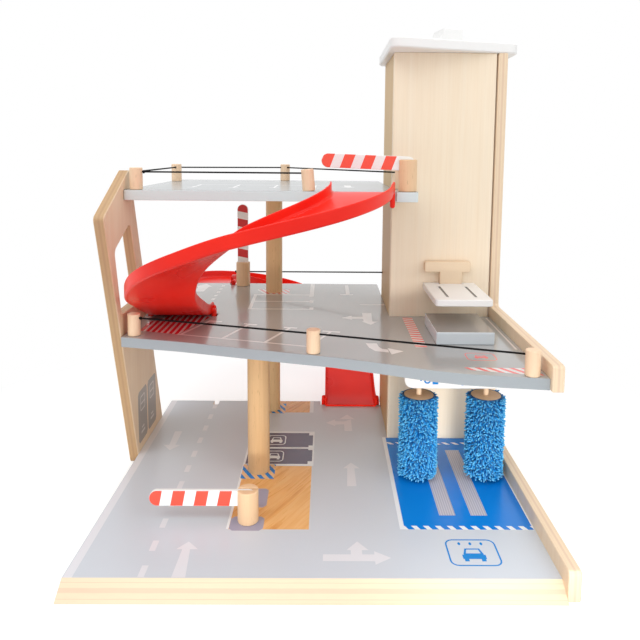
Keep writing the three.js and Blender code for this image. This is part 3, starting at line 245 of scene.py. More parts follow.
def plywood(
    name, across, low, grain, light=(0.87, 0.71, 0.52), dark=(0.78, 0.58, 0.38), edge=(1, 1, 1)
):
    """Plywood: a grained face, and the layers where the sheet's edge shows."""
    finish = Finish(name, Roughness=0.5)
    face, fibre = wood_face(finish, grain, light, dark, 0.22)
    start = -(low + CORNER["XYZ".index(across)]) / PLY
    depth = finish.line(finish.axis(across), 1000 / PLY, start)
    waver = finish.line(finish.noise(45, 2, 0.5), 0.03, -0.015)
    depth = finish.maths("ADD", depth, waver)
    long, end, glue = (
        tuple(e * c for e, c in zip(edge, colour))
        for colour in (light, (0.79, 0.61, 0.45), (0.7, 0.5, 0.35))
    )
    stops = [(0, long), (0.17, long), (0.185, glue), (0.2, long), (0.4, long), (0.43, end)]
    stops += [(0.59, end), (0.62, long), (0.8, long), (0.815, glue), (0.83, long), (1, long)]
    layers = finish.ramp(depth, stops)
    inner = finish.ramp(depth, [(0.02, 0.0), (0.1, 1.0), (0.9, 1.0), (0.98, 0.0)])
    streaks = finish.noise(tuple(900 if a == across else 60 for a in "XYZ"), 4, 0.7)
    streak = finish.ramp(streaks, [(0.3, (0.72, 0.54, 0.38)), (0.6, light)])
    worn = finish.mixed(0.35, layers, streak, "MULTIPLY")
    worn = finish.mixed(0.5, layers, worn)
    colour = finish.mixed(inner, face, worn)
    rough = finish.ramp(fibre, [(0.3, 0.42), (0.7, 0.58)])
    return finish.end(colour, rough, fibre, 0.0001, 0.5)


def beech(name, light, dark):
    """Turned beech: straight grain with short dark flecks along it."""
    finish = Finish(name, Roughness=0.45)
    face, fibre = wood_face(finish, "Z", light, dark, 0.3)
    flecks = finish.noise((1100, 1100, 110), 2, 0.4)
    fleck = finish.ramp(flecks, [(0.25, 0.0), (0.34, 1.0)])
    colour = finish.mixed(fleck, tuple(0.82 * c for c in dark), face)
    rough = finish.ramp(fibre, [(0.3, 0.38), (0.7, 0.55)])
    return finish.end(colour, rough, fibre, 0.00015, 0.5)


def painted(name, colour, rough, specks=0.03, coat=0.0, depth=0.00006):
    """Sprayed or printed paint with a faint orange peel."""
    finish = Finish(name, Roughness=rough, Coat_Weight=coat, Coat_Roughness=0.08)
    cloud = finish.noise(7, 1, 0.4)
    grain = finish.noise(900, 3, 0.6)
    light = tuple(min(1, c * (1 + specks)) for c in colour)
    dark = tuple(c * (1 - specks) for c in colour)
    tone = finish.ramp(finish.mixed(0.5, cloud, grain), [(0.2, dark), (0.8, light)])
    gloss = finish.ramp(cloud, [(0.1, rough * 0.94), (0.9, min(1, rough * 1.06))])
    return finish.end(tone, gloss, grain, depth, 0.5)


def yard():
    """A printed wooden yard: orange planks with wavy grain that runs slantwise."""
    finish = Finish("yard_print", Roughness=0.28)
    plank = finish.seen_from((0, 0, 0), (0, 0, radians(-31)), (0.007, 0.09, 1))
    wave = {"Vector": plank, "Scale": 1, "Detail": 3, "Roughness": 0.55, "Distortion": 1.4}
    grain = finish.node("TexNoise", wave).outputs["Fac"]
    wave["Scale"] = 0.34
    broad = finish.node("TexNoise", wave).outputs["Fac"]
    tone = finish.ramp(
        finish.mixed(0.5, grain, broad),
        [
            (0.34, (0.66, 0.29, 0.08)), (0.45, (0.79, 0.41, 0.14)), (0.56, (0.85, 0.48, 0.185)),
            (0.7, (0.91, 0.58, 0.27)),
        ],
    )
    gloss = finish.ramp(broad, [(0.3, 0.24), (0.7, 0.32)])
    return finish.end(tone, gloss, grain, 0.00004, 0.5)


def ribbed():
    """Grey wheel tracks with fine ribs along them."""
    finish = Finish("track_print", Roughness=0.45)
    rib = 0.0026
    ribs = finish.maths("SINE", finish.maths("MULTIPLY", finish.axis("X"), 2 * pi / rib))
    rise = finish.line(ribs, 0.5, 0.5)
    specks = finish.noise(1500, 2, 0.6)
    tone = finish.ramp(
        finish.mixed(0.45, rise, specks),
        [(0.25, (0.4, 0.39, 0.46)), (0.75, (0.6, 0.59, 0.65))],
    )
    return finish.end(tone, None, rise, 0.00008, 0.6)


def moulded():
    """Glossy red plastic, its red a little deeper in broad random patches."""
    finish = Finish("red_plastic", Roughness=0.28, Specular_IOR_Level=0.2)
    cloud = finish.noise(16, 1, 0.4)
    pits = finish.noise(650, 3, 0.65)
    tone = finish.ramp(cloud, [(0.35, (0.84, 0.017, 0.009)), (0.65, (0.94, 0.027, 0.013))])
    gloss = finish.ramp(cloud, [(0.3, 0.27), (0.7, 0.33)])
    ripple = finish.bump(cloud, 0.0004, 0.2)
    return finish.end(tone, gloss, pits, 0.000012, 0.4, ripple)


def striped(name, pin, turn, lean, coral):
    """White paint with slanted coral stripes, counted from the arm's round tip."""
    pale = tuple(0.93 * c for c in coral)
    finish = Finish(name, Roughness=0.36)
    arm = finish.seen_from(spot(*pin), (0, radians(turn), 0), (MM, MM, MM))
    from_tip = finish.maths("ADD", finish.axis("X", arm), ARM_LENGTH)
    slant = finish.line(finish.axis("Z", arm), -lean, -ARM_R * lean)
    along = finish.maths("ADD", from_tip, slant)
    turns = finish.line(along, 1 / STRIPE_STEP, -22 / STRIPE_STEP + 4)
    share = finish.maths("FRACT", turns)
    band = finish.ramp(share, [(0, 1.0), (0.517, 1.0), (0.527, 0.0), (0.99, 0.0), (1, 1.0)])
    outer = finish.maths("LESS_THAN", along, 88.0)
    band = finish.maths("MULTIPLY", band, outer)
    facing = finish.node("TexCoord").outputs["Normal"]
    sideways = finish.maths("ABSOLUTE", finish.axis("Y", facing))
    band = finish.maths("MULTIPLY", band, finish.maths("GREATER_THAN", sideways, 0.8))
    grain = finish.noise(700, 3, 0.6)
    white = finish.ramp(grain, [(0.3, (0.85, 0.88, 0.88)), (0.7, (0.9, 0.93, 0.93))])
    coral = finish.ramp(grain, [(0.3, pale), (0.7, coral)])
    rough = finish.ramp(grain, [(0.3, 0.3), (0.7, 0.4)])
    colour = finish.mixed(band, white, coral)
    return finish.end(colour, rough, grain, 0.00006, 0.5)


def chenille(name, x, y):
    """Blue pile, coloured by depth: painted shade dark between the tufts, painted highlights pale
    at their tips and in spots.
    """
    finish = Finish(name, Roughness=0.7, Specular_IOR_Level=0.3)
    roller = finish.seen_from(spot(x, y, 0), (0, 0, 0), (MM, MM, MM))
    flat = finish.node("VectorMath", {0: roller, 1: (1, 1, 0)}, operation="MULTIPLY").outputs[0]
    out = finish.node("VectorMath", {0: flat}, operation="LENGTH").outputs["Value"]
    inner, outer = PILE_R
    depth = finish.line(out, 1 / (outer - inner), -inner / (outer - inner))
    # Painted shade deep in the pile, and painted highlight at the tufts' tips.
    shade = finish.ramp(
        depth,
        [
            (0.15, (0.001, 0.015, 0.08)), (0.5, (0.003, 0.12, 0.4)),
            (0.78, (0.015, 0.32, 0.72)), (1, (0.17, 0.6, 0.88)),
        ],
    )
    # Pale spots: painted highlights on the tufts.
    spots = finish.noise(330, 2, 0.5)
    pale = finish.ramp(spots, [(0.46, (0.008, 0.15, 0.42)), (0.64, (0.2, 0.58, 0.84))])
    colour = finish.mixed(0.34, shade, pale)
    fuzz = finish.noise(2600, 2, 0.6)
    return finish.end(colour, None, fuzz, 0.0003, 0.8)


def elastic():
    """Braided black elastic."""
    finish = Finish("black_elastic", Roughness=0.85, Specular_IOR_Level=0.2)
    weave = finish.node(
        "TexVoronoi", {"Vector": finish.stretched((1300, 1300, 1300)), "Scale": 1}
    ).outputs["Distance"]
    tone = finish.ramp(weave, [(0.1, (0.008, 0.008, 0.009)), (0.7, (0.0015, 0.0015, 0.0015))])
    return finish.end(tone, None, weave, 0.0002, 0.8)


def steel(name, rough, colour):
    """Turned or rolled steel with fine marks."""
    finish = Finish(name, Metallic=1.0, Roughness=rough)
    marks = finish.noise((1800, 160, 1800), 3, 0.6)
    tone = finish.ramp(marks, [(0.3, tuple(0.8 * c for c in colour)), (0.7, colour)])
    gloss = finish.ramp(marks, [(0.3, rough * 0.7), (0.7, min(1, rough * 1.4))])
    return finish.end(tone, gloss, marks, 0.00004, 0.5)


PLY_BASE = plywood("base_plywood", "Z", -12, "X")
PLY_RIGHT = plywood("right_wall_plywood", "X", BASE_W, "Z")
# The left panel's edges are painted darker than the other plywood's edges, as painted shade.
PLY_LEFT = plywood("left_panel_plywood", "X", -PLY, "Z", edge=(0.64, 0.52, 0.385))
PLY_FRONT = plywood(
    "tower_front_plywood", "Y", TOWER_FRONT, "Z", (0.95, 0.83, 0.66), (0.91, 0.75, 0.55)
)
# The tower's left wall: the same plywood painted darker and warmer, as painted shade under the
# roof.
PLY_SIDE_SHADED = plywood(
    "tower_side_plywood_painted_shade", "X", TOWER_LEFT, "Z", (0.68, 0.47, 0.235), (0.58, 0.37, 0.16)
)
PLY_MID = plywood("middle_deck_plywood", "Z", MID_TOP - PLY, "X")
PLY_TOP = plywood("top_deck_plywood", "Z", TOP_TOP - PLY, "X")
PLY_LIFT = plywood("lift_board_plywood", "Y", 270, "X")
BEECH = beech("beech", (0.84, 0.58, 0.31), (0.73, 0.455, 0.22))
POST_BEECH = beech("post_beech", (0.84, 0.58, 0.355), (0.79, 0.52, 0.3))
PALE_BEECH = beech("pale_beech", (0.92, 0.69, 0.48), (0.88, 0.62, 0.405))
# A darker copy of the beech for the front lower column, as painted shade under the middle deck.
COLUMN_BEECH_SHADED = beech("column_beech_painted_shade", (0.73, 0.48, 0.255), (0.63, 0.385, 0.18))
# A darker, greyer beech for the roller cores, as painted shade on their tops.
CORE_BEECH_SHADED = beech("core_beech_painted_shade", (0.6, 0.41, 0.26), (0.5, 0.33, 0.2))
BASE_GREY = painted("base_grey_print", (0.6, 0.645, 0.7), 0.3, 0.02, depth=0.00002)
MID_GREY = painted("middle_grey_print", (0.39, 0.395, 0.39), 0.17, 0.03, 0.4)
TOP_GREY = painted("top_grey_print", (0.4, 0.425, 0.435), 0.24, 0.02, 0.1)
EDGE_GREY = painted("deck_edge_paint", (0.355, 0.39, 0.415), 0.4)
EDGE_TOP = painted("top_deck_edge_paint", (0.67, 0.75, 0.76), 0.4)
WHITE_LINE = painted("white_line_print", (0.83, 0.86, 0.88), 0.3, 0.02)
PALE_LINE = painted("pale_line_print", (0.74, 0.75, 0.79), 0.3, 0.02)
BAY_PRINT = painted("bay_print", (0.13, 0.118, 0.175), 0.26, 0.06)
PATCH_PRINT = painted("patch_print", (0.35, 0.34, 0.45), 0.28, 0.04)
WASH_BLUE = painted("wash_blue_print", (0.001, 0.21, 0.71), 0.24, 0.03)
HATCH_BLUE = painted("hatch_blue_print", (0.004, 0.22, 0.62), 0.26, 0.04)
SAND_PRINT = painted("sand_print", (0.82, 0.52, 0.27), 0.28, 0.04)
RED_PRINT = painted("red_print", (0.62, 0.012, 0.03), 0.2, 0.04, 0.3)
CORAL_PRINT = painted("coral_print", (0.86, 0.17, 0.16), 0.2, 0.04, 0.3)
DECK_WHITE = painted("deck_white_print", (0.78, 0.77, 0.76), 0.2, 0.02, 0.3)
DECK_PINK = painted("deck_pink_print", (0.76, 0.68, 0.66), 0.2, 0.02, 0.3)
TOP_WHITE = painted("top_white_print", (0.82, 0.83, 0.84), 0.22, 0.02, 0.2)
PLATE_PRINT = painted("plate_print", (0.33, 0.3, 0.27), 0.4, 0.05)
PLATE_LINE = painted("plate_line_print", (0.62, 0.58, 0.54), 0.4, 0.04)
YARD_PRINT = yard()
TRACK_PRINT = ribbed()
WHITE = painted("white_paint", (0.86, 0.86, 0.85), 0.35, 0.015)
GREY = painted("grey_paint", (0.64, 0.7, 0.74), 0.35, 0.03)
# The landing block's top: its grey paint drawn darker and brown, as a painted reflection of the
# plywood above it and painted shade.
LANDING_TOP_REFLECTION = painted("landing_top_painted_reflection", (0.32, 0.295, 0.27), 0.2, 0.03, 0.3)
# Painted shade for the inside of the lift platform's grooves.
GROOVE_SHADE = painted("groove_painted_shade", (0.36, 0.345, 0.33), 0.5, 0.04)
RED = moulded()
ELASTIC = elastic()
STEEL = steel("bright_steel", 0.3, (0.66, 0.65, 0.64))
ZINC = steel("zinc_screw", 0.35, (0.75, 0.73, 0.68))


# ---- making


def make(name, bm, body, finishes, stands_for=(), crease=32):
    """Ends a piece: into metres, smooth but for its creases, on its body."""
    bm.transform(PLACE)
    for face in bm.faces:
        face.smooth = True
    for edge in bm.edges:
        edge.smooth = edge.calc_face_angle(pi) < radians(crease)
    mesh = bpy.data.meshes.new(name)
    bm.to_mesh(mesh)
    bm.free()
    piece = placed(name, mesh)
    for finish in finishes:
        mesh.materials.append(finish)
    even = piece.modifiers.new("even", "WEIGHTED_NORMAL")
    even.keep_sharp = True
    even.weight = 80
    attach(piece, body)
    if stands_for:
        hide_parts(*stands_for)
    return piece


def turned(node, bm, body, wood):
    """Ends a turned wooden piece, which stands for its CAD node."""
    make(node + "_turned", bm, body, [wood], [node])


def soften(edges_over, bm, width, segments=2):
    """Rounds the edges of a shape that are sharper than an angle."""
    sharp = [e for e in bm.edges if e.calc_face_angle(0) > radians(edges_over)]
    bmesh.ops.bevel(
        bm, geom=sharp, offset=width, offset_type="OFFSET", segments=segments, profile=0.5,
        affect="EDGES", clamp_overlap=True, material=-1,
    )
    return bm


def cut_level(bm, where=(0, 0, 0)):
    """Cuts off what lies under a point and closes the cut."""
    parts = [*bm.verts, *bm.edges, *bm.faces]
    down = (0, 0, -1)
    bmesh.ops.bisect_plane(bm, geom=parts, plane_co=where, plane_no=down, clear_outer=True)
    bmesh.ops.holes_fill(bm, edges=bm.edges, sides=0)


def from_cad(node):
    """A merged copy of a CAD node, back in millimetres from the corner."""
    bm = bmesh.new()
    bm.from_mesh(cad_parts[node].data)
    bm.transform(PLACE.inverted())
    bmesh.ops.remove_doubles(bm, verts=bm.verts, dist=0.003)
    bmesh.ops.dissolve_limit(
        bm, angle_limit=radians(1), use_dissolve_boundaries=False, verts=bm.verts,
        edges=bm.edges,
    )
    return bm


def bar(radius, bottom, top, x=0, y=0, chamfer=0.8, sides=56, bm=None):
    """An upright round bar with eased ends."""
    whole = bm or bmesh.new()
    one = bmesh.new()
    bmesh.ops.create_cone(
        one, cap_ends=True, segments=sides, radius1=radius, radius2=radius, depth=top - bottom,
    )
    if chamfer:
        soften(SHARP, one, chamfer, 3)
    bmesh.ops.translate(one, verts=one.verts, vec=(x, y, (bottom + top) / 2))
    return add_to(whole, one)


def block(x0, y0, z0, x1, y1, z1, round_off=0.0, bm=None, segments=2):
    """A box between two corners, with eased edges."""
    whole = bm or bmesh.new()
    one = bmesh.new()
    bmesh.ops.create_cube(one, size=1)
    bmesh.ops.scale(one, verts=one.verts, vec=(x1 - x0, y1 - y0, z1 - z0))
    if round_off:
        soften(SHARP, one, round_off, segments)
    middle = ((x0 + x1) / 2, (y0 + y1) / 2, (z0 + z1) / 2)
    bmesh.ops.translate(one, verts=one.verts, vec=middle)
    return add_to(whole, one)


def add_to(whole, one):
    """Adds one shape to another."""
    mesh = bpy.data.meshes.new("part")
    one.to_mesh(mesh)
    one.free()
    whole.from_mesh(mesh)
    bpy.data.meshes.remove(mesh)
    return whole


def carve(bm, *cutters):
    """Cuts shapes out of a shape."""

    def shown(shape):
        mesh = bpy.data.meshes.new("carving")
        shape.to_mesh(mesh)
        shape.free()
        return placed("carving", mesh)

    work = shown(bm)
    tools = [shown(c) for c in cutters]
    for tool in tools:
        boolean = work.modifiers.new("cut", "BOOLEAN")
        boolean.operation, boolean.object, boolean.solver = "DIFFERENCE", tool, "EXACT"
    bpy.context.view_layer.update()
    graph = bpy.context.evaluated_depsgraph_get()
    made = bmesh.new()
    made.from_object(work, graph)
    for thing in [work, *tools]:
        mesh = thing.data
        bpy.data.objects.remove(thing)
        bpy.data.meshes.remove(mesh)
    bmesh.ops.remove_doubles(made, verts=made.verts, dist=0.002)
    return made


def bent_sheet(rings):
    """A flat grid rolled up so that its rows lie on the rings, with both ends closed."""
    one = bmesh.new()
    round_it = len(rings[0])
    bmesh.ops.create_grid(one, x_segments=round_it, y_segments=len(rings) - 1, size=1)
    one.verts.ensure_lookup_table()
    for row, ring in enumerate(rings):
        for column in range(round_it + 1):
            one.verts[row * (round_it + 1) + column].co = ring[column % round_it]
    bmesh.ops.remove_doubles(one, verts=one.verts, dist=0.0005)
    bmesh.ops.holes_fill(one, edges=one.edges, sides=0)
    bmesh.ops.recalc_face_normals(one, faces=one.faces)
    return one


# ---- cords

CORD_R = 1.0
BEND = 6.5
TAIL_REACH = 10.6
KNOT_REACH = 9.2
KNOT_IN = 1.4
TOP_POSTS = {
    "front_mid": (217, 209), "front_left": (13, 209), "back_left": (9, 425),
    "back_mid": (171.8, 467), "back_right": (332, 262),
}
MID_POSTS = {"front_left": (13, 187), "front_mid": (224.8, 126.6), "front_right": (441, 61)}


def routed(points):
    """The line of a taut cord, turned smoothly where it passes through a post."""
    line = [points[0]]
    for before, here, after in zip(points, points[1:], points[2:]):
        a = here + (before - here).normalized() * BEND
        b = here + (after - here).normalized() * BEND
        for k in range(7):
            t = k / 6
            line.append((1 - t) ** 2 * a + 2 * t * (1 - t) * here + t * t * b)
    line.append(points[-1])
    return line


def knot(name, where, way):
    """A small knot in a cord that runs in that direction."""
    side = way.cross(Vector((0, 0, 1))).normalized()
    up = side.cross(way)
    turns, sides, thread, wide, long = 40, 8, 0.78, 0.44, 0.62
    line = []
    for k in range(turns):
        t = 2 * pi * k / turns
        x = sin(t) + 2 * sin(2 * t)
        y = cos(t) - 2 * cos(2 * t)
        line.append(where + side * x * wide + up * y * wide - way * sin(3 * t) * long)
    rings = []
    for k, here in enumerate(line + line[:1]):
        ahead = (line[(k + 1) % turns] - line[(k - 1) % turns]).normalized()
        across = ahead.cross(way + side * 0.1).normalized()
        over = across.cross(ahead)
        angles = [2 * pi * j / sides for j in range(sides)]
        ring = [here + thread * (across * cos(a) + over * sin(a)) for a in angles]
        rings.append(ring)
    return make(name, bent_sheet(rings), "garage", [ELASTIC], crease=80)


def tail(degrees):
    """The way that the knotted end of a cord leaves its end post."""
    return Vector((cos(radians(degrees)), sin(radians(degrees)), 0))


def off(here, way, distance=TAIL_REACH):
    """A point at a distance from another, that way."""
    return here + way.normalized() * distance


def string(node, points, tied_at=None):
    """A taut elastic cord through the points, knotted at its ends and outside a post."""
    line = [PLACE @ p for p in routed(points)]
    curve = bpy.data.curves.new(node + "_elastic", "CURVE")
    curve.dimensions = "3D"
    curve.bevel_depth = CORD_R * MM
    curve.bevel_resolution = 3
    curve.use_fill_caps = True
    spline = curve.splines.new("POLY")
    spline.points.add(len(line) - 1)
    for point, place in zip(spline.points, line):
        point.co = (*place, 1)
    curve.materials.append(ELASTIC)
    piece = placed(node + "_elastic", curve)
    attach(piece, "garage")
    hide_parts(node)
    for end, here, after in (("start", *points[:2]), ("end", *points[:-3:-1])):
        way = (after - here).normalized()
        knot(f"{node}_knot_{end}", off(here, way, KNOT_IN), way)
    if tied_at:
        knot(node + "_knot_post", tied_at, Vector((1, 0, 0)))


TOP_LINE = [Vector((x, y, TOP_TOP + CORD_HEIGHT)) for x, y in TOP_POSTS.values()]
MID_LINE = [Vector((x, y, MID_TOP + CORD_HEIGHT)) for x, y in MID_POSTS.values()]
TOP_TAIL = tail(90)
MID_TAILS = [tail(107), tail(60)]
string(
    "top_cord",
    [off(TOP_LINE[0], TOP_TAIL), *TOP_LINE[:-1], off(TOP_LINE[4], TOP_LINE[4] - TOP_LINE[3])],
    off(TOP_LINE[1], TOP_LINE[0] - TOP_LINE[1], KNOT_REACH),
)
string(
    "mid_front_cord",
    [off(MID_LINE[0], MID_TAILS[0]), *MID_LINE, off(MID_LINE[2], MID_TAILS[1])],
    off(MID_LINE[0], MID_LINE[1] - MID_LINE[0], KNOT_REACH),
)
BACK_LINE = ((89.9, 472.5, 191), (122.5, 472.5, 191), (315.5, 392, 207), (338.1, 392, 207))
string("mid_back_cord", [Vector(place) for place in BACK_LINE])


# ---- boards


def inlay(bm, across, level, shapes, finishes):
    """Splits a flat side along the shapes printed on it and gives each its finish.

    A shape is a finish and one or more convex outlines, and fills where they overlap.
    """
    u, v = (i for i in range(3) if i != across)
    side = [f for f in bm.faces if all(abs(w.co[across] - level) < 0.02 for w in f.verts)]
    side = set(bmesh.ops.triangulate(bm, faces=side)["faces"])
    for finish, *outlines in shapes:
        if finish not in finishes:
            finishes.append(finish)
        spans = [(min(axis), max(axis)) for axis in zip(*outlines[0])]
        inside = [
            f
            for f in side
            if all(
                max(w.co[i] for w in f.verts) > near and min(w.co[i] for w in f.verts) < far
                for i, (near, far) in zip((u, v), spans)
            )
        ]
        for outline in outlines:
            middle = Vector()
            middle[across] = level
            middle[u] = sum(p[0] for p in outline) / len(outline)
            middle[v] = sum(p[1] for p in outline) / len(outline)
            for p, q in zip(outline, outline[1:] + outline[:1]):
                here, out = Vector(), Vector()
                here[u], here[v], here[across] = p[0], p[1], level
                out[u], out[v] = q[1] - p[1], p[0] - q[0]
                if out.dot(middle - here) > 0:
                    out.negate()
                edges = {e for f in inside for e in f.edges}
                corners = {w for f in inside for w in f.verts}
                made = bmesh.ops.bisect_plane(
                    bm, geom=[*inside, *edges, *corners], dist=0.001, plane_co=here,
                    plane_no=out,
                )["geom"]
                parts = [g for g in made if isinstance(g, bmesh.types.BMFace)]
                side.update(parts)
                inside = [f for f in parts if out.dot(f.calc_center_median() - here) < 0]
        for face in inside:
            face.material_index = finishes.index(finish)


def board(node, body, finishes, width, paint=None, prints=()):
    """A CAD board with its edges eased, and each face given its finish.

    Prints are the axis across a printed side, its level and the shapes on it.
    """
    bm = soften(30, from_cad(node), width)
    if paint:
        bm.normal_update()
        for face in bm.faces:
            face.material_index = paint(face)
    finishes = list(finishes)
    if prints:
        inlay(bm, *prints, finishes)
    return make(node + "_sheet", bm, body, finishes, [node])


def printed(face):
    """0 on a deck's printed top, 1 on its edges and 2 under it."""
    return 0 if face.normal.z > 0.75 else 2 if face.normal.z < -0.75 else 1


def printed_base(face):
    """0 on the base's printed top and 1 on the rest of it."""
    return 0 if face.normal.z > 0.9 else 1


def grooved(face):
    """1 in the platform's two grooves, which get painted shade, and 0 on the rest of it."""
    middle = face.calc_center_median()
    across = min(abs(middle.x - x) for x in GROOVE_X)
    in_groove = across < 1.75 and PLATFORM_TOP - 1.4 < middle.z < PLATFORM_TOP - 0.45
    return int(in_groove and face.normal.z > -0.5)


def oblong(x0, y0, x1, y1):
    """The four corners of an oblong."""
    return [(x0, y0), (x1, y0), (x1, y1), (x0, y1)]


def oblongs(finish, *places):
    """Oblongs of one finish."""
    return [(finish, oblong(*place)) for place in places]


def areas(finish, *outlines):
    """Outlined areas of one finish."""
    return [(finish, outline) for outline in outlines]


def bars_along(finish, width, *lines):
    """Straight lines of paint, each between two points."""
    return [(finish, stroke((x0, y0), (x1, y1), width)) for x0, y0, x1, y1 in lines]


def outlined(finish, x0, y0, x1, y1, r, width):
    """The outline of a rounded oblong, as short strokes."""
    centres = [(x1 - r, y1 - r), (x0 + r, y1 - r), (x0 + r, y0 + r), (x1 - r, y0 + r)]
    outer, inner = [], []
    for k, (cx, cy) in enumerate(centres):
        for j in range(5):
            a = pi / 2 * (k + j / 4)
            outer.append((cx + r * cos(a), cy + r * sin(a)))
            inner.append((cx + (r - width) * cos(a), cy + (r - width) * sin(a)))
    return areas(
        finish, *[[outer[i - 1], outer[i], inner[i], inner[i - 1]] for i in range(len(outer))]
    )


def stroke(p, q, width):
    """A straight line of paint between two points."""
    a, b = Vector(p), Vector(q)
    out = (b - a).normalized().orthogonal() * width / 2
    return [tuple(a + out), tuple(b + out), tuple(b - out), tuple(a - out)]


def disc(x, y, r, ry=None, sides=16):
    """A round or oval spot."""
    return [
        (x + r * cos(a), y + (ry or r) * sin(a))
        for a in (2 * pi * k / sides for k in range(sides))
    ]


def stripes(finish, region, start, step, share, lean, count, upright=True):
    """Slanted bars inside a convex region, each step apart, share of a step wide."""
    ends = [p[1 if upright else 0] for p in region]
    near, far = min(ends) - 1, max(ends) + 1
    rise = lean * (far - near)
    shapes = []
    for k in range(count):
        a = start + k * step
        b = a + share * step
        slanted = [(a, near), (b, near), (b + rise, far), (a + rise, far)]
        if not upright:
            slanted = [(y, x) for x, y in slanted]
        shapes.append((finish, slanted, region))
    return shapes


def car_front(finish, x, y, w, h):
    """A small plain car seen from the front: roof, body and two wheels."""
    plates = ((-0.36, 0.02, 0.36, 0.12), (-0.26, 0.38, 0.26, 0.46), (-0.42, -0.26, 0.42, 0.03))
    plates += ((-0.38, -0.42, -0.22, -0.24), (0.22, -0.42, 0.38, -0.24))
    pillar = ((0.36, 0.1), (0.27, 0.1), (0.2, 0.45), (0.27, 0.45))
    shapes = [oblong(x + a * w, y + b * h, x + c * w, y + d * h) for a, b, c, d in plates]
    shapes[1:1] = [[(x + way * a * w, y + b * h) for a, b in pillar] for way in (-1, 1)]
    return [(finish, shape) for shape in shapes]


def base_prints():
    """The base board's road, bays, wooden yard and wash."""
    white, pale = WHITE_LINE, PALE_LINE
    shapes = oblongs(pale, (0.8, 0, 9, 404))
    shapes += oblongs(pale, *[(68, 1 + 37.35 * k, 74, 17 + 37.35 * k) for k in range(11)])
    shapes += areas(
        pale,
        [(31, 297), (41, 297), (41, 257), (33, 257)],
        [(25.5, 257), (48, 257), (37, 242.5)],
        [(99, 0.6), (111.8, 0.6), (107.5, 41), (99.8, 41)],
        [(93.8, 41), (115.2, 41), (103.7, 53)],
    )
    shapes += oblongs(white, (137, 74, 139.6, 300))
    shapes += oblongs(YARD_PRINT, (139.6, 73.5, 222.3, 203), (139.6, 361.5, 215.5, 403.2))
    shapes += oblongs(white, (215.5, 361.5, 221, 403.2))
    shapes += oblongs(BAY_PRINT, (139.6, 208, 222.3, 248), (139.6, 252, 222.3, 293.5))
    shapes += oblongs(
        white, (139.6, 203.5, 224.2, 208), (139.6, 248, 224.2, 252), (139.6, 293.5, 224.2, 298),
        (222.3, 203.5, 224.2, 298), (216.8, 208, 222.3, 215), (216.8, 244.5, 222.3, 257),
        (216.8, 286.5, 222.3, 293.5),
    )
    for y in (228, 272.5):
        shapes += outlined(white, 161, y - 14, 186, y + 14, 6, 1.4)
        shapes += car_front(white, 173.5, y - 1, 19, 18)
    for x, y, w, h in ((158, 189.5, 40, 34), (158, 376, 42, 36)):
        pad = oblong(x - w / 2, y - h / 2, x + w / 2, y + h / 2)
        shapes.append((SAND_PRINT, pad))
        shapes += stripes(HATCH_BLUE, pad, x - w / 2 + 2, 11.2, 0.5, -0.6, 7)
    patch = [(139.8, 75), (143.5, 71), (171, 71), (175, 75)]
    patch += [(175, 92), (171, 96), (143.5, 96), (139.8, 92)]
    chipped = [(158, 113), (171, 113), (174.5, 117), (174.5, 147), (171, 151), (158, 151)]
    shapes += areas(PATCH_PRINT, chipped, patch)
    shapes += areas(
        pale,
        [(265.7, 300.4), (276.5, 300.4), (276, 338.5), (266, 331)],
        [(259.5, 339), (281.5, 339), (271, 355)],
        [(253, 320.5), (266, 322), (266, 331), (253, 332)],
        [(253, 338), (253, 315.5), (240, 326.5)],
        [(264.6, 157), (275.4, 157), (274.8, 198), (266, 198)],
        [(260.8, 198), (281.2, 198), (271.2, 211.8)], oblong(237, 24, 287, 34),
        [(286.7, 39), (286.7, 19), (302.5, 29)], oblong(264, 34, 275, 41),
        [(260, 40.5), (281.5, 40.5), (271, 54)],
    )
    shapes += oblongs(WASH_BLUE, (321, 74.3, 454.4, 279.8))
    shapes += oblongs(white, (316.3, 74.3, 321, 282))
    shapes += stripes(white, oblong(321, 74.3, 454.4, 80.6), 320, 12.4, 0.46, -0.55, 12)
    shapes += stripes(white, oblong(321, 261.5, 454.4, 267.5), 326, 12.4, 0.46, -0.9, 12)
    shapes += oblongs(white, (454.4, 76, 455.6, 279.8))
    shapes += oblongs(TRACK_PRINT, (361.4, 99.3, 378.8, 246), (395.2, 99.3, 413, 246))
    shapes += outlined(HATCH_BLUE, 358, 17.5, 408, 58, 8, 1.7)
    shapes += car_front(HATCH_BLUE, 383, 33.5, 27, 22)
    shapes += [(HATCH_BLUE, disc(x, 51, 1.4, 2.4)) for x in (372, 383, 394)]
    return shapes


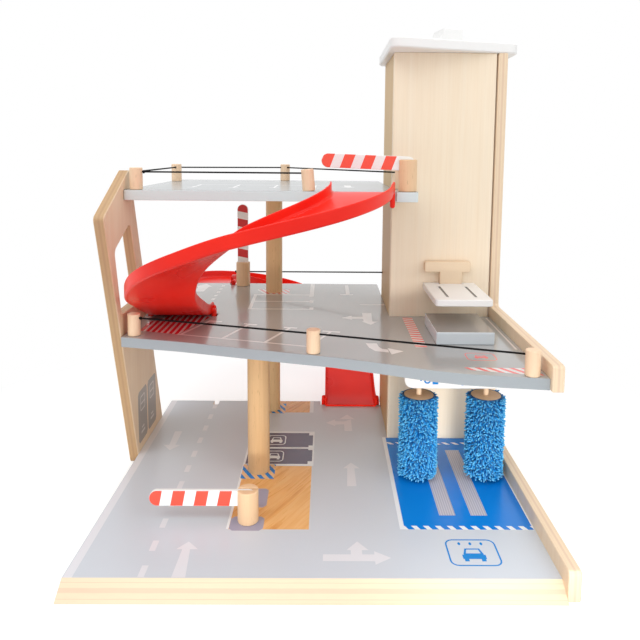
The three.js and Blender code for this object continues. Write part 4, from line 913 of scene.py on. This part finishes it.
def middle_prints():
    """The middle deck's bays, arrows and warning bars."""
    white, coral = DECK_WHITE, CORAL_PRINT
    gore = [(14, 204.5), (63, 190.8), (88, 270), (40, 285), (14, 240)]
    shapes = [(RED_PRINT, gore)]
    shapes += stripes(white, gore, 18.4, 7.4, 0.42, 0.02, 12)
    shapes += oblongs(white, (1.5, 262, 8.5, 279))
    shapes += bars_along(white, 2.8, (62, 191.2, 220, 146.8))
    shapes += bars_along(white, 3.6, (66.5, 190, 89.5, 249), (118, 175, 142, 235.5))
    shapes += bars_along(white, 3.6, (168.7, 161.2, 194.5, 221.5), (219, 147, 244.5, 205.5))
    shapes += bars_along(white, 4, (88.5, 250, 106, 246.8), (135, 237.8, 152, 233))
    shapes += bars_along(white, 4, (186.5, 223.2, 203, 219.8), (234.3, 208, 255.5, 203.6))
    shapes += bars_along(white, 4.6, (131.6, 401.5, 133.2, 311))
    shapes += oblongs(
        white, (131.8, 396.8, 214.5, 400.4), (133, 355, 215.5, 358.4),
        (131.5, 311, 215.5, 314.2), (214.6, 350, 220.4, 363), (215.4, 310, 221, 323),
        (213.6, 388, 220, 477), (269, 404, 274.8, 470), (260, 400.4, 280, 404.8),
        (287, 339, 327.5, 342.4),
        *[(70.3, y, 75.2, y + 9) for y in (364, 386.5, 409, 431.5, 454)],
    )
    shapes += areas(
        white,
        [(287, 294.3), (299.8, 294.3), (298, 252), (287, 252)],
        [(284.5, 252), (305, 252), (295, 237)],
        [(272, 274.5), (287, 275.5), (287, 264.5), (272, 265)],
        [(272.5, 279.5), (272.5, 261), (259.3, 268.5)],
        [(283.9, 160.3), (296.3, 160.3), (297.6, 147.5), (286.4, 145)],
        [(286.4, 145), (297.6, 147.5), (300.5, 140.8), (292.2, 133.4)],
        [(292.2, 133.4), (300.5, 140.8), (307, 138.2), (307, 128.4)],
        [(307, 143.3), (323.5, 132.6), (309.3, 121.8)],
        [(35.5, 417), (49, 417), (51, 452), (34, 452)],
        [(29, 452), (56, 452), (43, 473)],
    )
    pad = oblong(131, 404.5, 182, 435)
    shapes += stripes(coral, pad, 149, 9.2, 0.46, -0.5, 6)
    shapes += stripes(white, pad, 144.6, 9.2, 0.4, -0.5, 6)
    bars = oblong(338.8, 147, 351.8, 271.5)
    shapes += [(DECK_PINK, bars)]
    shapes += stripes(coral, bars, 150, 9.1, 0.5, -0.2, 15, False)
    shapes += oblongs(DECK_PINK, (448.8, 141, 451, 272))
    shapes += outlined(coral, 388, 103.5, 420, 128.5, 6, 1.2)
    shapes += car_front(coral, 404, 115.5, 17, 13)
    band = [(378.7, 82.4), (446, 81.2), (453, 59.4), (436, 63.2), (384.4, 74)]
    shapes += [(DECK_WHITE, band)]
    shapes += stripes(coral, band, 384, 11.4, 0.48, -0.75, 9)
    return shapes


def top_prints():
    """Bay lines, an arrow and dashes on the top deck."""
    shapes = []
    for x in (66, 118.5, 170.5, 223):
        shapes += oblongs(TOP_WHITE, (x - 1.3, 268, x + 1.3, 330), (x - 6.5, 266.5, x + 6.5, 270))
    dashes = [(20 + 34 * k, 446, 37 + 34 * k, 450) for k in range(8)]
    shapes += oblongs(TOP_WHITE, (60, 330, 229, 332.6), *dashes, (262, 300, 271, 336))
    return shapes + [(TOP_WHITE, [(256, 300), (277, 300), (266.5, 285)])]


def sign_prints():
    """Round and square marks along the wash's sign board."""
    shapes = [(HATCH_BLUE, disc(x, 119.6, r, sides=20)) for x, r in ((351, 1), (358.6, 4.2))]
    shapes.append((WHITE, disc(358.6, 119.6, 2.2)))
    shapes.append((HATCH_BLUE, oblong(364.6, 114.7, 371.6, 121.7)))
    for x in (400.4, 415.4):
        shapes += outlined(HATCH_BLUE, x - 5, 113.6, x + 5, 123.6, 4.9, 0.9)
    return shapes


def panel_prints():
    """Two rounded grey plates printed low on the left panel's inner side."""
    shapes = []
    for y in (236, 278):
        plate = [(y, 14), (y + 4, 10), (y + 34, 10), (y + 38, 14)]
        plate += [(y + 38, 74), (y + 34, 78), (y + 4, 78), (y, 74)]
        shapes.append((PLATE_PRINT, plate))
        shapes += outlined(PLATE_LINE, y + 9, 50, y + 29, 70, 3, 2)
        shapes += oblongs(PLATE_LINE, (y + 9, 58.8, y + 29, 60.8), (y + 11, 20, y + 27, 23))
        shapes += oblongs(PLATE_LINE, (y + 14, 26, y + 24, 28.4))
    return shapes


board(
    "base_board", "garage", [BASE_GREY, PLY_BASE], 0.6, paint=printed_base,
    prints=(2, 0, base_prints()),
)
board(
    "mid_deck", "garage", [MID_GREY, EDGE_GREY, PLY_MID], 0.7, paint=printed,
    prints=(2, MID_TOP, middle_prints()),
)
board(
    "top_deck", "garage", [TOP_GREY, EDGE_TOP, PLY_TOP], 0.7, paint=printed,
    prints=(2, TOP_TOP, top_prints()),
)
board("right_side_wall", "garage", [PLY_RIGHT], 0.35)
board("left_side_panel", "garage", [PLY_LEFT], 0.35, prints=(0, 0, panel_prints()))
board("tower_front_panel", "garage", [PLY_FRONT], 0.3)
# The tower's left wall carries painted shade in its plywood colour.
board("tower_left_wall", "garage", [PLY_SIDE_SHADED], 0.3)
board("tower_roof", "garage", [WHITE], 0.6)
board("roof_block", "roof_turner", [WHITE], 0.4)
board("lift_platform", "lift", [WHITE, GROOVE_SHADE], 0.3, paint=grooved)
board("lift_back_board", "lift", [PLY_LIFT], 0.3)
# Its top takes the painted reflection and shade; its sides and underside take the plain grey.
board("landing_block", "garage", [LANDING_TOP_REFLECTION, GREY, GREY], 0.4, paint=printed)
board(
    "wash_sign_board", "garage", [WHITE], 0.3,
    prints=(1, SIGN_FRONT, sign_prints()),
)


# ---- turned wood


def columns():
    """The three round columns between the decks."""
    for node, y, r, bottom, top in (
        ("column_front_lower", 194, 13.2, 0, MID_TOP - PLY),
        ("column_rear_lower", 376, 12.5, 0, MID_TOP - PLY),
        ("column_rear_upper", 421, 12.5, MID_TOP, TOP_TOP - PLY),
    ):
        shape = bar(r, bottom, top, COLUMN_X, y, 0.5, 64)
        # The front lower column takes the darker beech, which is painted shade.
        wood = COLUMN_BEECH_SHADED if node == "column_front_lower" else BEECH
        turned(node, shape, "garage", wood)


def rod_between(a, b, radius, sides=20):
    """A round rod between two points."""
    way = b - a
    bm = bar(radius, -way.length / 2, way.length / 2, 0, 0, 0, sides)
    turn = way.to_track_quat("Z", "Y").to_matrix().to_4x4()
    bm.transform(Matrix.Translation((a + b) / 2) @ turn)
    return bm


def fence_post(node, here, towards, lean):
    """A dowel with a hole towards each way that its cord runs."""
    x, y, z = here
    foot = (x, y, z - CORD_HEIGHT)
    shape = bar(POST_R, 0, POST_HEIGHT, 0, 0, 1.1, 48)
    shape.transform(Matrix.Rotation(radians(lean), 4, "Y"))
    bmesh.ops.translate(shape, verts=shape.verts, vec=foot)
    if lean:
        cut_level(shape, foot)
    ways = [(p - here).normalized() for p in towards]
    holes = [rod_between(here, here + way * 12, CORD_HOLE_R) for way in ways]
    turned(node, carve(shape, *holes), "garage", PALE_BEECH)


def fences():
    """The posts of both decks, each drilled for its cord; one of them leans a little."""
    for names, line, prefix, tails in (
        (list(TOP_POSTS), TOP_LINE, "top_post_", [TOP_TAIL, None]),
        (list(MID_POSTS), MID_LINE, "mid_post_", MID_TAILS),
    ):
        for i, (name, here) in enumerate(zip(names, line)):
            towards = [line[j] for j in (i - 1, i + 1) if 0 <= j < len(line)]
            if len(towards) == 1:
                way = tails[0 if i == 0 else 1] or here - towards[0]
                towards.append(here + way)
            lean = -5 if prefix + name == "top_post_front_mid" else 0
            fence_post(prefix + name, here, towards, lean)


columns()
fences()


# ---- barriers


def barrier(name, pivot, deck, height, drop, turn, lean, coral, corded=False):
    """A slotted post with a striped arm on a steel pin."""
    x, y = pivot
    pin = deck + height - drop

    def rod(half, radius, up=pin, along="y", aside=0, sides=20):
        """A level rod, half its length to each side of the post's middle line."""
        step = Vector((0, half, 0)) if along == "y" else Vector((half, 0, 0))
        middle = Vector((x, y + aside, up))
        return rod_between(middle - step, middle + step, radius, sides)

    cutters = [block(x - 14, y - 2.7, pin - 8.8, x + 14, y + 2.7, pin + 20), rod(9.6, 1.7)]
    if corded:
        cutters.append(rod(13, CORD_HOLE_R, deck + CORD_HEIGHT, "x", 6.5))
    post = carve(bar(11, deck, deck + height, x, y, 1.1, 64), *cutters)
    turned(name + "_post", post, "garage", POST_BEECH)
    arm = bmesh.new()
    bmesh.ops.create_circle(arm, cap_ends=True, segments=48, radius=ARM_R)
    for v in arm.verts:
        if v.co.x < -0.01:
            v.co.x -= ARM_LENGTH - ARM_R
    faces = bmesh.ops.extrude_face_region(arm, geom=arm.faces[:])["geom"]
    top = [g for g in faces if isinstance(g, bmesh.types.BMVert)]
    bmesh.ops.translate(arm, verts=top, vec=(0, 0, ARM_THICK))
    bmesh.ops.recalc_face_normals(arm, faces=arm.faces)
    soften(SHARP, arm, 0.7, 3)
    upright = Matrix.Rotation(pi / 2, 4, "X") @ Matrix.Translation((0, 0, -ARM_THICK / 2))
    swung = Matrix.Rotation(radians(turn), 4, "Y") @ upright
    arm.transform(Matrix.Translation((x, y, pin)) @ swung)
    body = name.split("_")[0] + "_arm"
    paint = striped(name + "_stripes", (x, y, pin), turn, lean, coral)
    make(name + "_arm_cut", arm, body, [paint], [name + "_arm"])
    steel_pin = rod(9.4, 1.5, sides=32)
    make(name + "_pin_steel", steel_pin, "garage", [STEEL], [name + "_pin"])


CORAL = (0.94, 0.1, 0.06)
barrier("base_barrier", (158.004, 89), 0, 35, 9.5, 0, 0.2, CORAL)
barrier("top_barrier", (334.3, 213.5), TOP_TOP, BARRIER_HEIGHT, 5, 2, 0.34, CORAL)
# The back arm's coral is painted darker, as painted shade under the top deck.
SHADED_CORAL = (0.66, 0.04, 0.04)
barrier("back_barrier", (104, 466), MID_TOP, BARRIER_HEIGHT, 9.5, 90, 0.2, SHADED_CORAL, True)


# ---- slides

TURN_R = 114.5
ENTRY = 12
LEG = 108
TURN = pi * TURN_R
RUN = ENTRY + TURN + LEG
DROP = 167.3
FALL_AT = [0]
FALL_AT += [ENTRY + share * TURN for share in (0.127, 0.309, 0.528, 0.6615, 0.809, 0.916)]
FALL_AT += [ENTRY + TURN + share * LEG for share in (0.333, 0.8, 1)]
FALL = [0, 0.04, 0.118, 0.25, 0.382, 0.55, 0.7, 0.89, 0.992, 1]


def fallen(s):
    """How much of its drop a slide's floor has made at the distance s."""
    n = len(FALL)
    step = [(FALL[i + 1] - FALL[i]) / (FALL_AT[i + 1] - FALL_AT[i]) for i in range(n - 1)]
    slope = [step[0] / 2]
    for before, after in zip(step, step[1:]):
        slope.append(2 * before * after / (before + after or 1))
    slope.append(0)
    i = max(k for k in range(n - 1) if s >= FALL_AT[k] or k == 0)
    h = FALL_AT[i + 1] - FALL_AT[i]
    t = (s - FALL_AT[i]) / h
    return (
        (2 * t**3 - 3 * t**2 + 1) * FALL[i]
        + (t**3 - 2 * t**2 + t) * h * slope[i]
        + (3 * t**2 - 2 * t**3) * FALL[i + 1]
        + (t**3 - t**2) * h * slope[i + 1]
    )


def channel_section(half, up):
    """The slide's section: a floor, two walls with rolled lips, and coved corners."""
    thick, cove, fillet, lip = 2.4, 3.4, 3.6, 1.2

    def arc(x, z, r, start, end, steps):
        return [
            (x + r * cos(a), z + r * sin(a))
            for a in (radians(start + (end - start) * k / steps) for k in range(steps + 1))
        ]

    side = [(half * 0.35, -thick)]
    side += arc(half - cove, cove - thick, cove, -90, 0, 4)
    side += [(half, up - 3 * lip)]
    side += arc(half - lip, up - lip, lip, 0, 180, 6)
    side += [(half - thick, up - 3 * lip)]
    side += arc(half - thick - fillet, fillet, fillet, 0, -90, 4)
    side += [(half * 0.35, 0)]
    return side + [(-x, z) for x, z in reversed(side)]


def wall_height(s):
    """The walls' height at the distance s: their ends are rounded off."""
    left, round_off = (s, 4.5) if s < RUN / 2 else (RUN - s, 8.8)
    short = max(0, round_off - left)
    return 12.6 - round_off + sqrt(round_off**2 - short**2)


def flare(s):
    """How far the outer wall leans out over its hook at the slide's upper end."""
    t = max(0, 1 - s / 26)
    return 4.4 * t * t * (3 - 2 * t)


def slide(node, place):
    """A slide: the channel swept down its half turn and its leg, with hooks and feet."""
    rings = []
    ends = [0, 0.3, 0.8, 1.5, 2.4, 3.4]
    stations = ends + [4.5 + 7.5 * k / 4 for k in range(4)]
    stations += [ENTRY + TURN * k / 96 for k in range(96)]
    stations += [ENTRY + TURN + (LEG - 9) * k / 23 for k in range(24)]
    stations += [RUN - 2 * s for s in reversed(ends)]
    for s in stations:
        half = 36 + 3.5 * s / RUN
        angle = min(max((s - ENTRY) / TURN_R, 0), pi)
        side = Vector((cos(angle), -sin(angle), 0))
        here = Vector((-TURN_R, -ENTRY, 0)) + TURN_R * side
        if s < ENTRY:
            here.y += ENTRY - s
        here.y += max(0, s - ENTRY - TURN)
        here.z = -DROP * fallen(s)
        section = channel_section(half, wall_height(s))
        wide = 1 + flare(s) / half
        rings.append(
            [here + side * (x * wide if x > 0 else x) + Vector((0, 0, z)) for x, z in section]
        )
    bm = bent_sheet(rings)
    foot = -2 * TURN_R
    for way in (-1, 1):
        for x, inner, outer, y0, y1, z0, z1, knob in (
            (0, 34.9, 41, -2 if way > 0 else -6, 6, -19, 6, (3.05, -2, 5.95, 37.95, 2.6)),
            (foot, 38.6, 44.6, 74, 86, -177.9, -163.6, (2.95, -172, -161.7, 41.6, 77.1)),
            (foot, 35.5, 44.4, 73, 87, -166.5, -160.4, (2.7, -164, -157.6, 41.2, 83.5)),
        ):
            near, far = sorted((way * inner, way * outer))
            block(x + near, y0, z0, x + far, y1, z1, 2.6, bm, 4)
            radius, under, over, out, back = knob
            bar(radius, under, over, x + way * out, back, 2.2, 32, bm)
    bm.transform(place)
    make(node + "_moulded", bm, "garage", [RED], [node], 40)


slide("upper_slide", Matrix.Translation((277.5, 199.7, TOP_TOP)))
about = Matrix.Rotation(pi, 4, "Z")
slide("lower_slide", Matrix.Translation((48.5, 480.3, MID_TOP)) @ about)


# ---- wash rollers


def tuft():
    """One bent tuft of pile, a millimetre long and wide."""
    bm = bmesh.new()
    bmesh.ops.create_uvsphere(bm, u_segments=6, v_segments=5, radius=1)
    for v in bm.verts:
        v.co.z = (v.co.z + 1) / 2
        v.co.x += 0.9 * v.co.z**2
    mesh = bpy.data.meshes.new("tuft")
    bm.to_mesh(mesh)
    bm.free()
    return mesh


def roller(side, x, seed):
    """A wooden core on its dowel, in a cover of short chenille tufts."""
    rng = random.Random(seed)
    y = ROLLER_Y
    bottom, top, rows, around, root = 5.2, 99.8, 46, 54, 18.8
    middle, half = 52.5, 47.3
    body = "roller_" + side
    turned(f"roller_dowel_{side}", bar(3, -5.7, 115.2, x, y, 0.4, 32), "garage", PALE_BEECH)
    washer = carve(bar(8, 0, 3.7, x, y, 0.6, 40), bar(3.3, -2, 8, x, y, 0, 32))
    turned(f"roller_washer_{side}", washer, "garage", BEECH)
    core = carve(bar(17.5, 4, 101, x, y, 0.8, 64), bar(3.5, 0, 108, x, y, 0, 32))
    # The core's beech carries painted shade.
    turned(f"roller_core_{side}", core, body, CORE_BEECH_SHADED)
    one = tuft()
    cover = carve(bar(19.4, 4.2, 100.8, x, y, 0.5, 48), bar(17.55, 0, 108, x, y, 0, 48))
    for row in range(rows):
        z = bottom + (top - bottom) * row / (rows - 1)
        for i in range(around):
            angle = 2 * pi * (i + 0.5 * (row % 2) + rng.uniform(-0.3, 0.3)) / around
            droop = rng.uniform(-0.2, 1.15)
            sway = rng.uniform(-0.9, 0.9)
            long = rng.uniform(4.6, 6.2)
            wide = rng.uniform(0.8, 1.05)
            if abs(z - middle) / half > 0.94 and z < middle:
                droop *= 0.35
            shape = one.copy()
            shape.transform(
                Matrix.Translation((x, y, z + rng.uniform(-0.5, 0.5)))
                @ Matrix.Rotation(angle, 4, "Z")
                @ Matrix.Translation((root, 0, 0))
                @ Matrix.Rotation(sway, 4, "Z")
                @ Matrix.Rotation(pi / 2 + droop, 4, "Y")
                @ Matrix.Rotation(rng.uniform(0, 2 * pi), 4, "Z")
                @ Matrix.Diagonal((wide, wide, long, 1))
            )
            cover.from_mesh(shape)
            bpy.data.meshes.remove(shape)
    bpy.data.meshes.remove(one)
    pile, node = [chenille(f"chenille_{side}", x, y)], f"roller_cover_{side}"
    make(node + "_chenille", cover, body, pile, [node], 80)


roller("left", 349.5, 7)
roller("right", 429.5, 11)


# ---- small parts


def small_parts():
    """The roof block's spindle, the metal inside the tower and the wall's six screws."""
    spindle = bar(8, 508.7, 512.7, *SPINDLE, 0.8, 48)
    bar(4, 512.7, 539, *SPINDLE, 0.4, 40, spindle)
    turned("roof_spindle", spindle, "garage", BEECH)
    for node in ("lift_magnet_low", "lift_magnet_high", "lift_steel_strip"):
        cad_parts[node].data.materials.clear()
        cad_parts[node].data.materials.append(STEEL)
    base, mid = -PLY / 2, MID_TOP - PLY / 2
    places = {
        "base_front": (42, base), "base_back": (238, base), "mid_front": (89, mid),
        "mid_back": (238, mid), "tower_low": (390, 60), "tower_high": (390, 470),
    }
    for name, (y, z) in places.items():
        head = bmesh.new()
        bmesh.ops.create_uvsphere(head, u_segments=32, v_segments=16, radius=SCREW_R)
        cut_level(head)
        bmesh.ops.scale(head, verts=head.verts, vec=(1, 1, SCREW_RISE / SCREW_R))
        cross = [block(-a, -b, 0.3, a, b, 3) for a, b in ((2.1, 0.45), (0.45, 2.1))]
        head = carve(head, *cross)
        wall = Matrix.Translation((BASE_W + PLY, y, z))
        head.transform(wall @ Matrix.Rotation(pi / 2, 4, "Y"))
        node = "wall_screw_" + name
        make(node + "_zinc", head, "garage", [ZINC], [node])


small_parts()


# ---- studio


def studio():
    """A white floor that keeps the shadow near the toy, a white world and five soft lamps."""
    world = bpy.data.worlds.new("studio")
    bpy.context.scene.world = world
    sky = Graph(world, bare=True)
    grey, white = (
        sky.node("Background", {"Color": (1, 1, 1, 1), "Strength": strength}).outputs[0]
        for strength in (0.7, 1)
    )
    seen = sky.rays("Is Camera Ray", "Is Glossy Ray", "Is Transmission Ray")
    sky.node("OutputWorld", {"Surface": sky.blend(seen, grey, white)})

    bm = bmesh.new()
    bmesh.ops.create_grid(bm, x_segments=2, y_segments=2, size=6)
    mesh = bpy.data.meshes.new("floor")
    bm.to_mesh(mesh)
    bm.free()
    floor = placed("floor", mesh)
    floor.location.z = -0.0002
    paper = bpy.data.materials.new("white_floor")
    mesh.materials.append(paper)
    sheet = Graph(paper, bare=True)
    lit, shaded = (
        sheet.node("BsdfDiffuse", {"Color": (tone,) * 3 + (1,)}).outputs[0]
        for tone in (0.82, 0.5)
    )
    glow, bright = (
        sheet.node("Emission", {"Strength": strength}).outputs[0] for strength in (0.62, 1)
    )
    near = sheet.node("AddShader", {0: shaded, 1: glow}).outputs[0]
    place = sheet.node("TexCoord").outputs["Object"]
    away = sheet.node("VectorMath", {0: place}, operation="LENGTH").outputs["Value"]
    span = {"Value": away, "From Min": 0.27, "From Max": 0.6}
    fade = sheet.blend(sheet.node("MapRange", span).outputs["Result"], near, bright)
    seen = sheet.rays("Is Camera Ray", "Is Glossy Ray")
    sheet.node("OutputMaterial", {"Surface": sheet.blend(seen, lit, fade)})

    for name, place, aim, size, watts, spread in (
        ("key_lamp", (-0.9, -1.2, 1.9), (0, 0, 0.2), 1.6, 15.5, None),
        ("fill_lamp", (1.6, -1.1, 1.2), (0, 0, 0.25), 1.8, 8.5, None),
        ("top_lamp", (0.1, 0.4, 2.3), (0, 0, 0.2), 1.6, 10, None),
        ("low_lamp", (0.03, -0.6, 0.1), (0.03, 0.1, 0.07), 0.5, 0.2, 44),
        ("wash_lamp", (0.165, -0.6, 0.1), (0.165, 0.087, 0.02), 0.14, 0.05, 26),
    ):
        lamp = bpy.data.lights.new(name, "AREA")
        lamp.shape, lamp.size, lamp.energy = "DISK", size, watts
        thing = placed(name, lamp)
        thing.location = place
        thing.rotation_mode = "QUATERNION"
        thing.rotation_quaternion = (Vector(aim) - Vector(place)).to_track_quat("-Z", "Y")
        if spread:
            lamp.shape, lamp.size_y, lamp.spread = "RECTANGLE", 0.05, radians(spread)
            thing.visible_camera = thing.visible_glossy = False


studio()
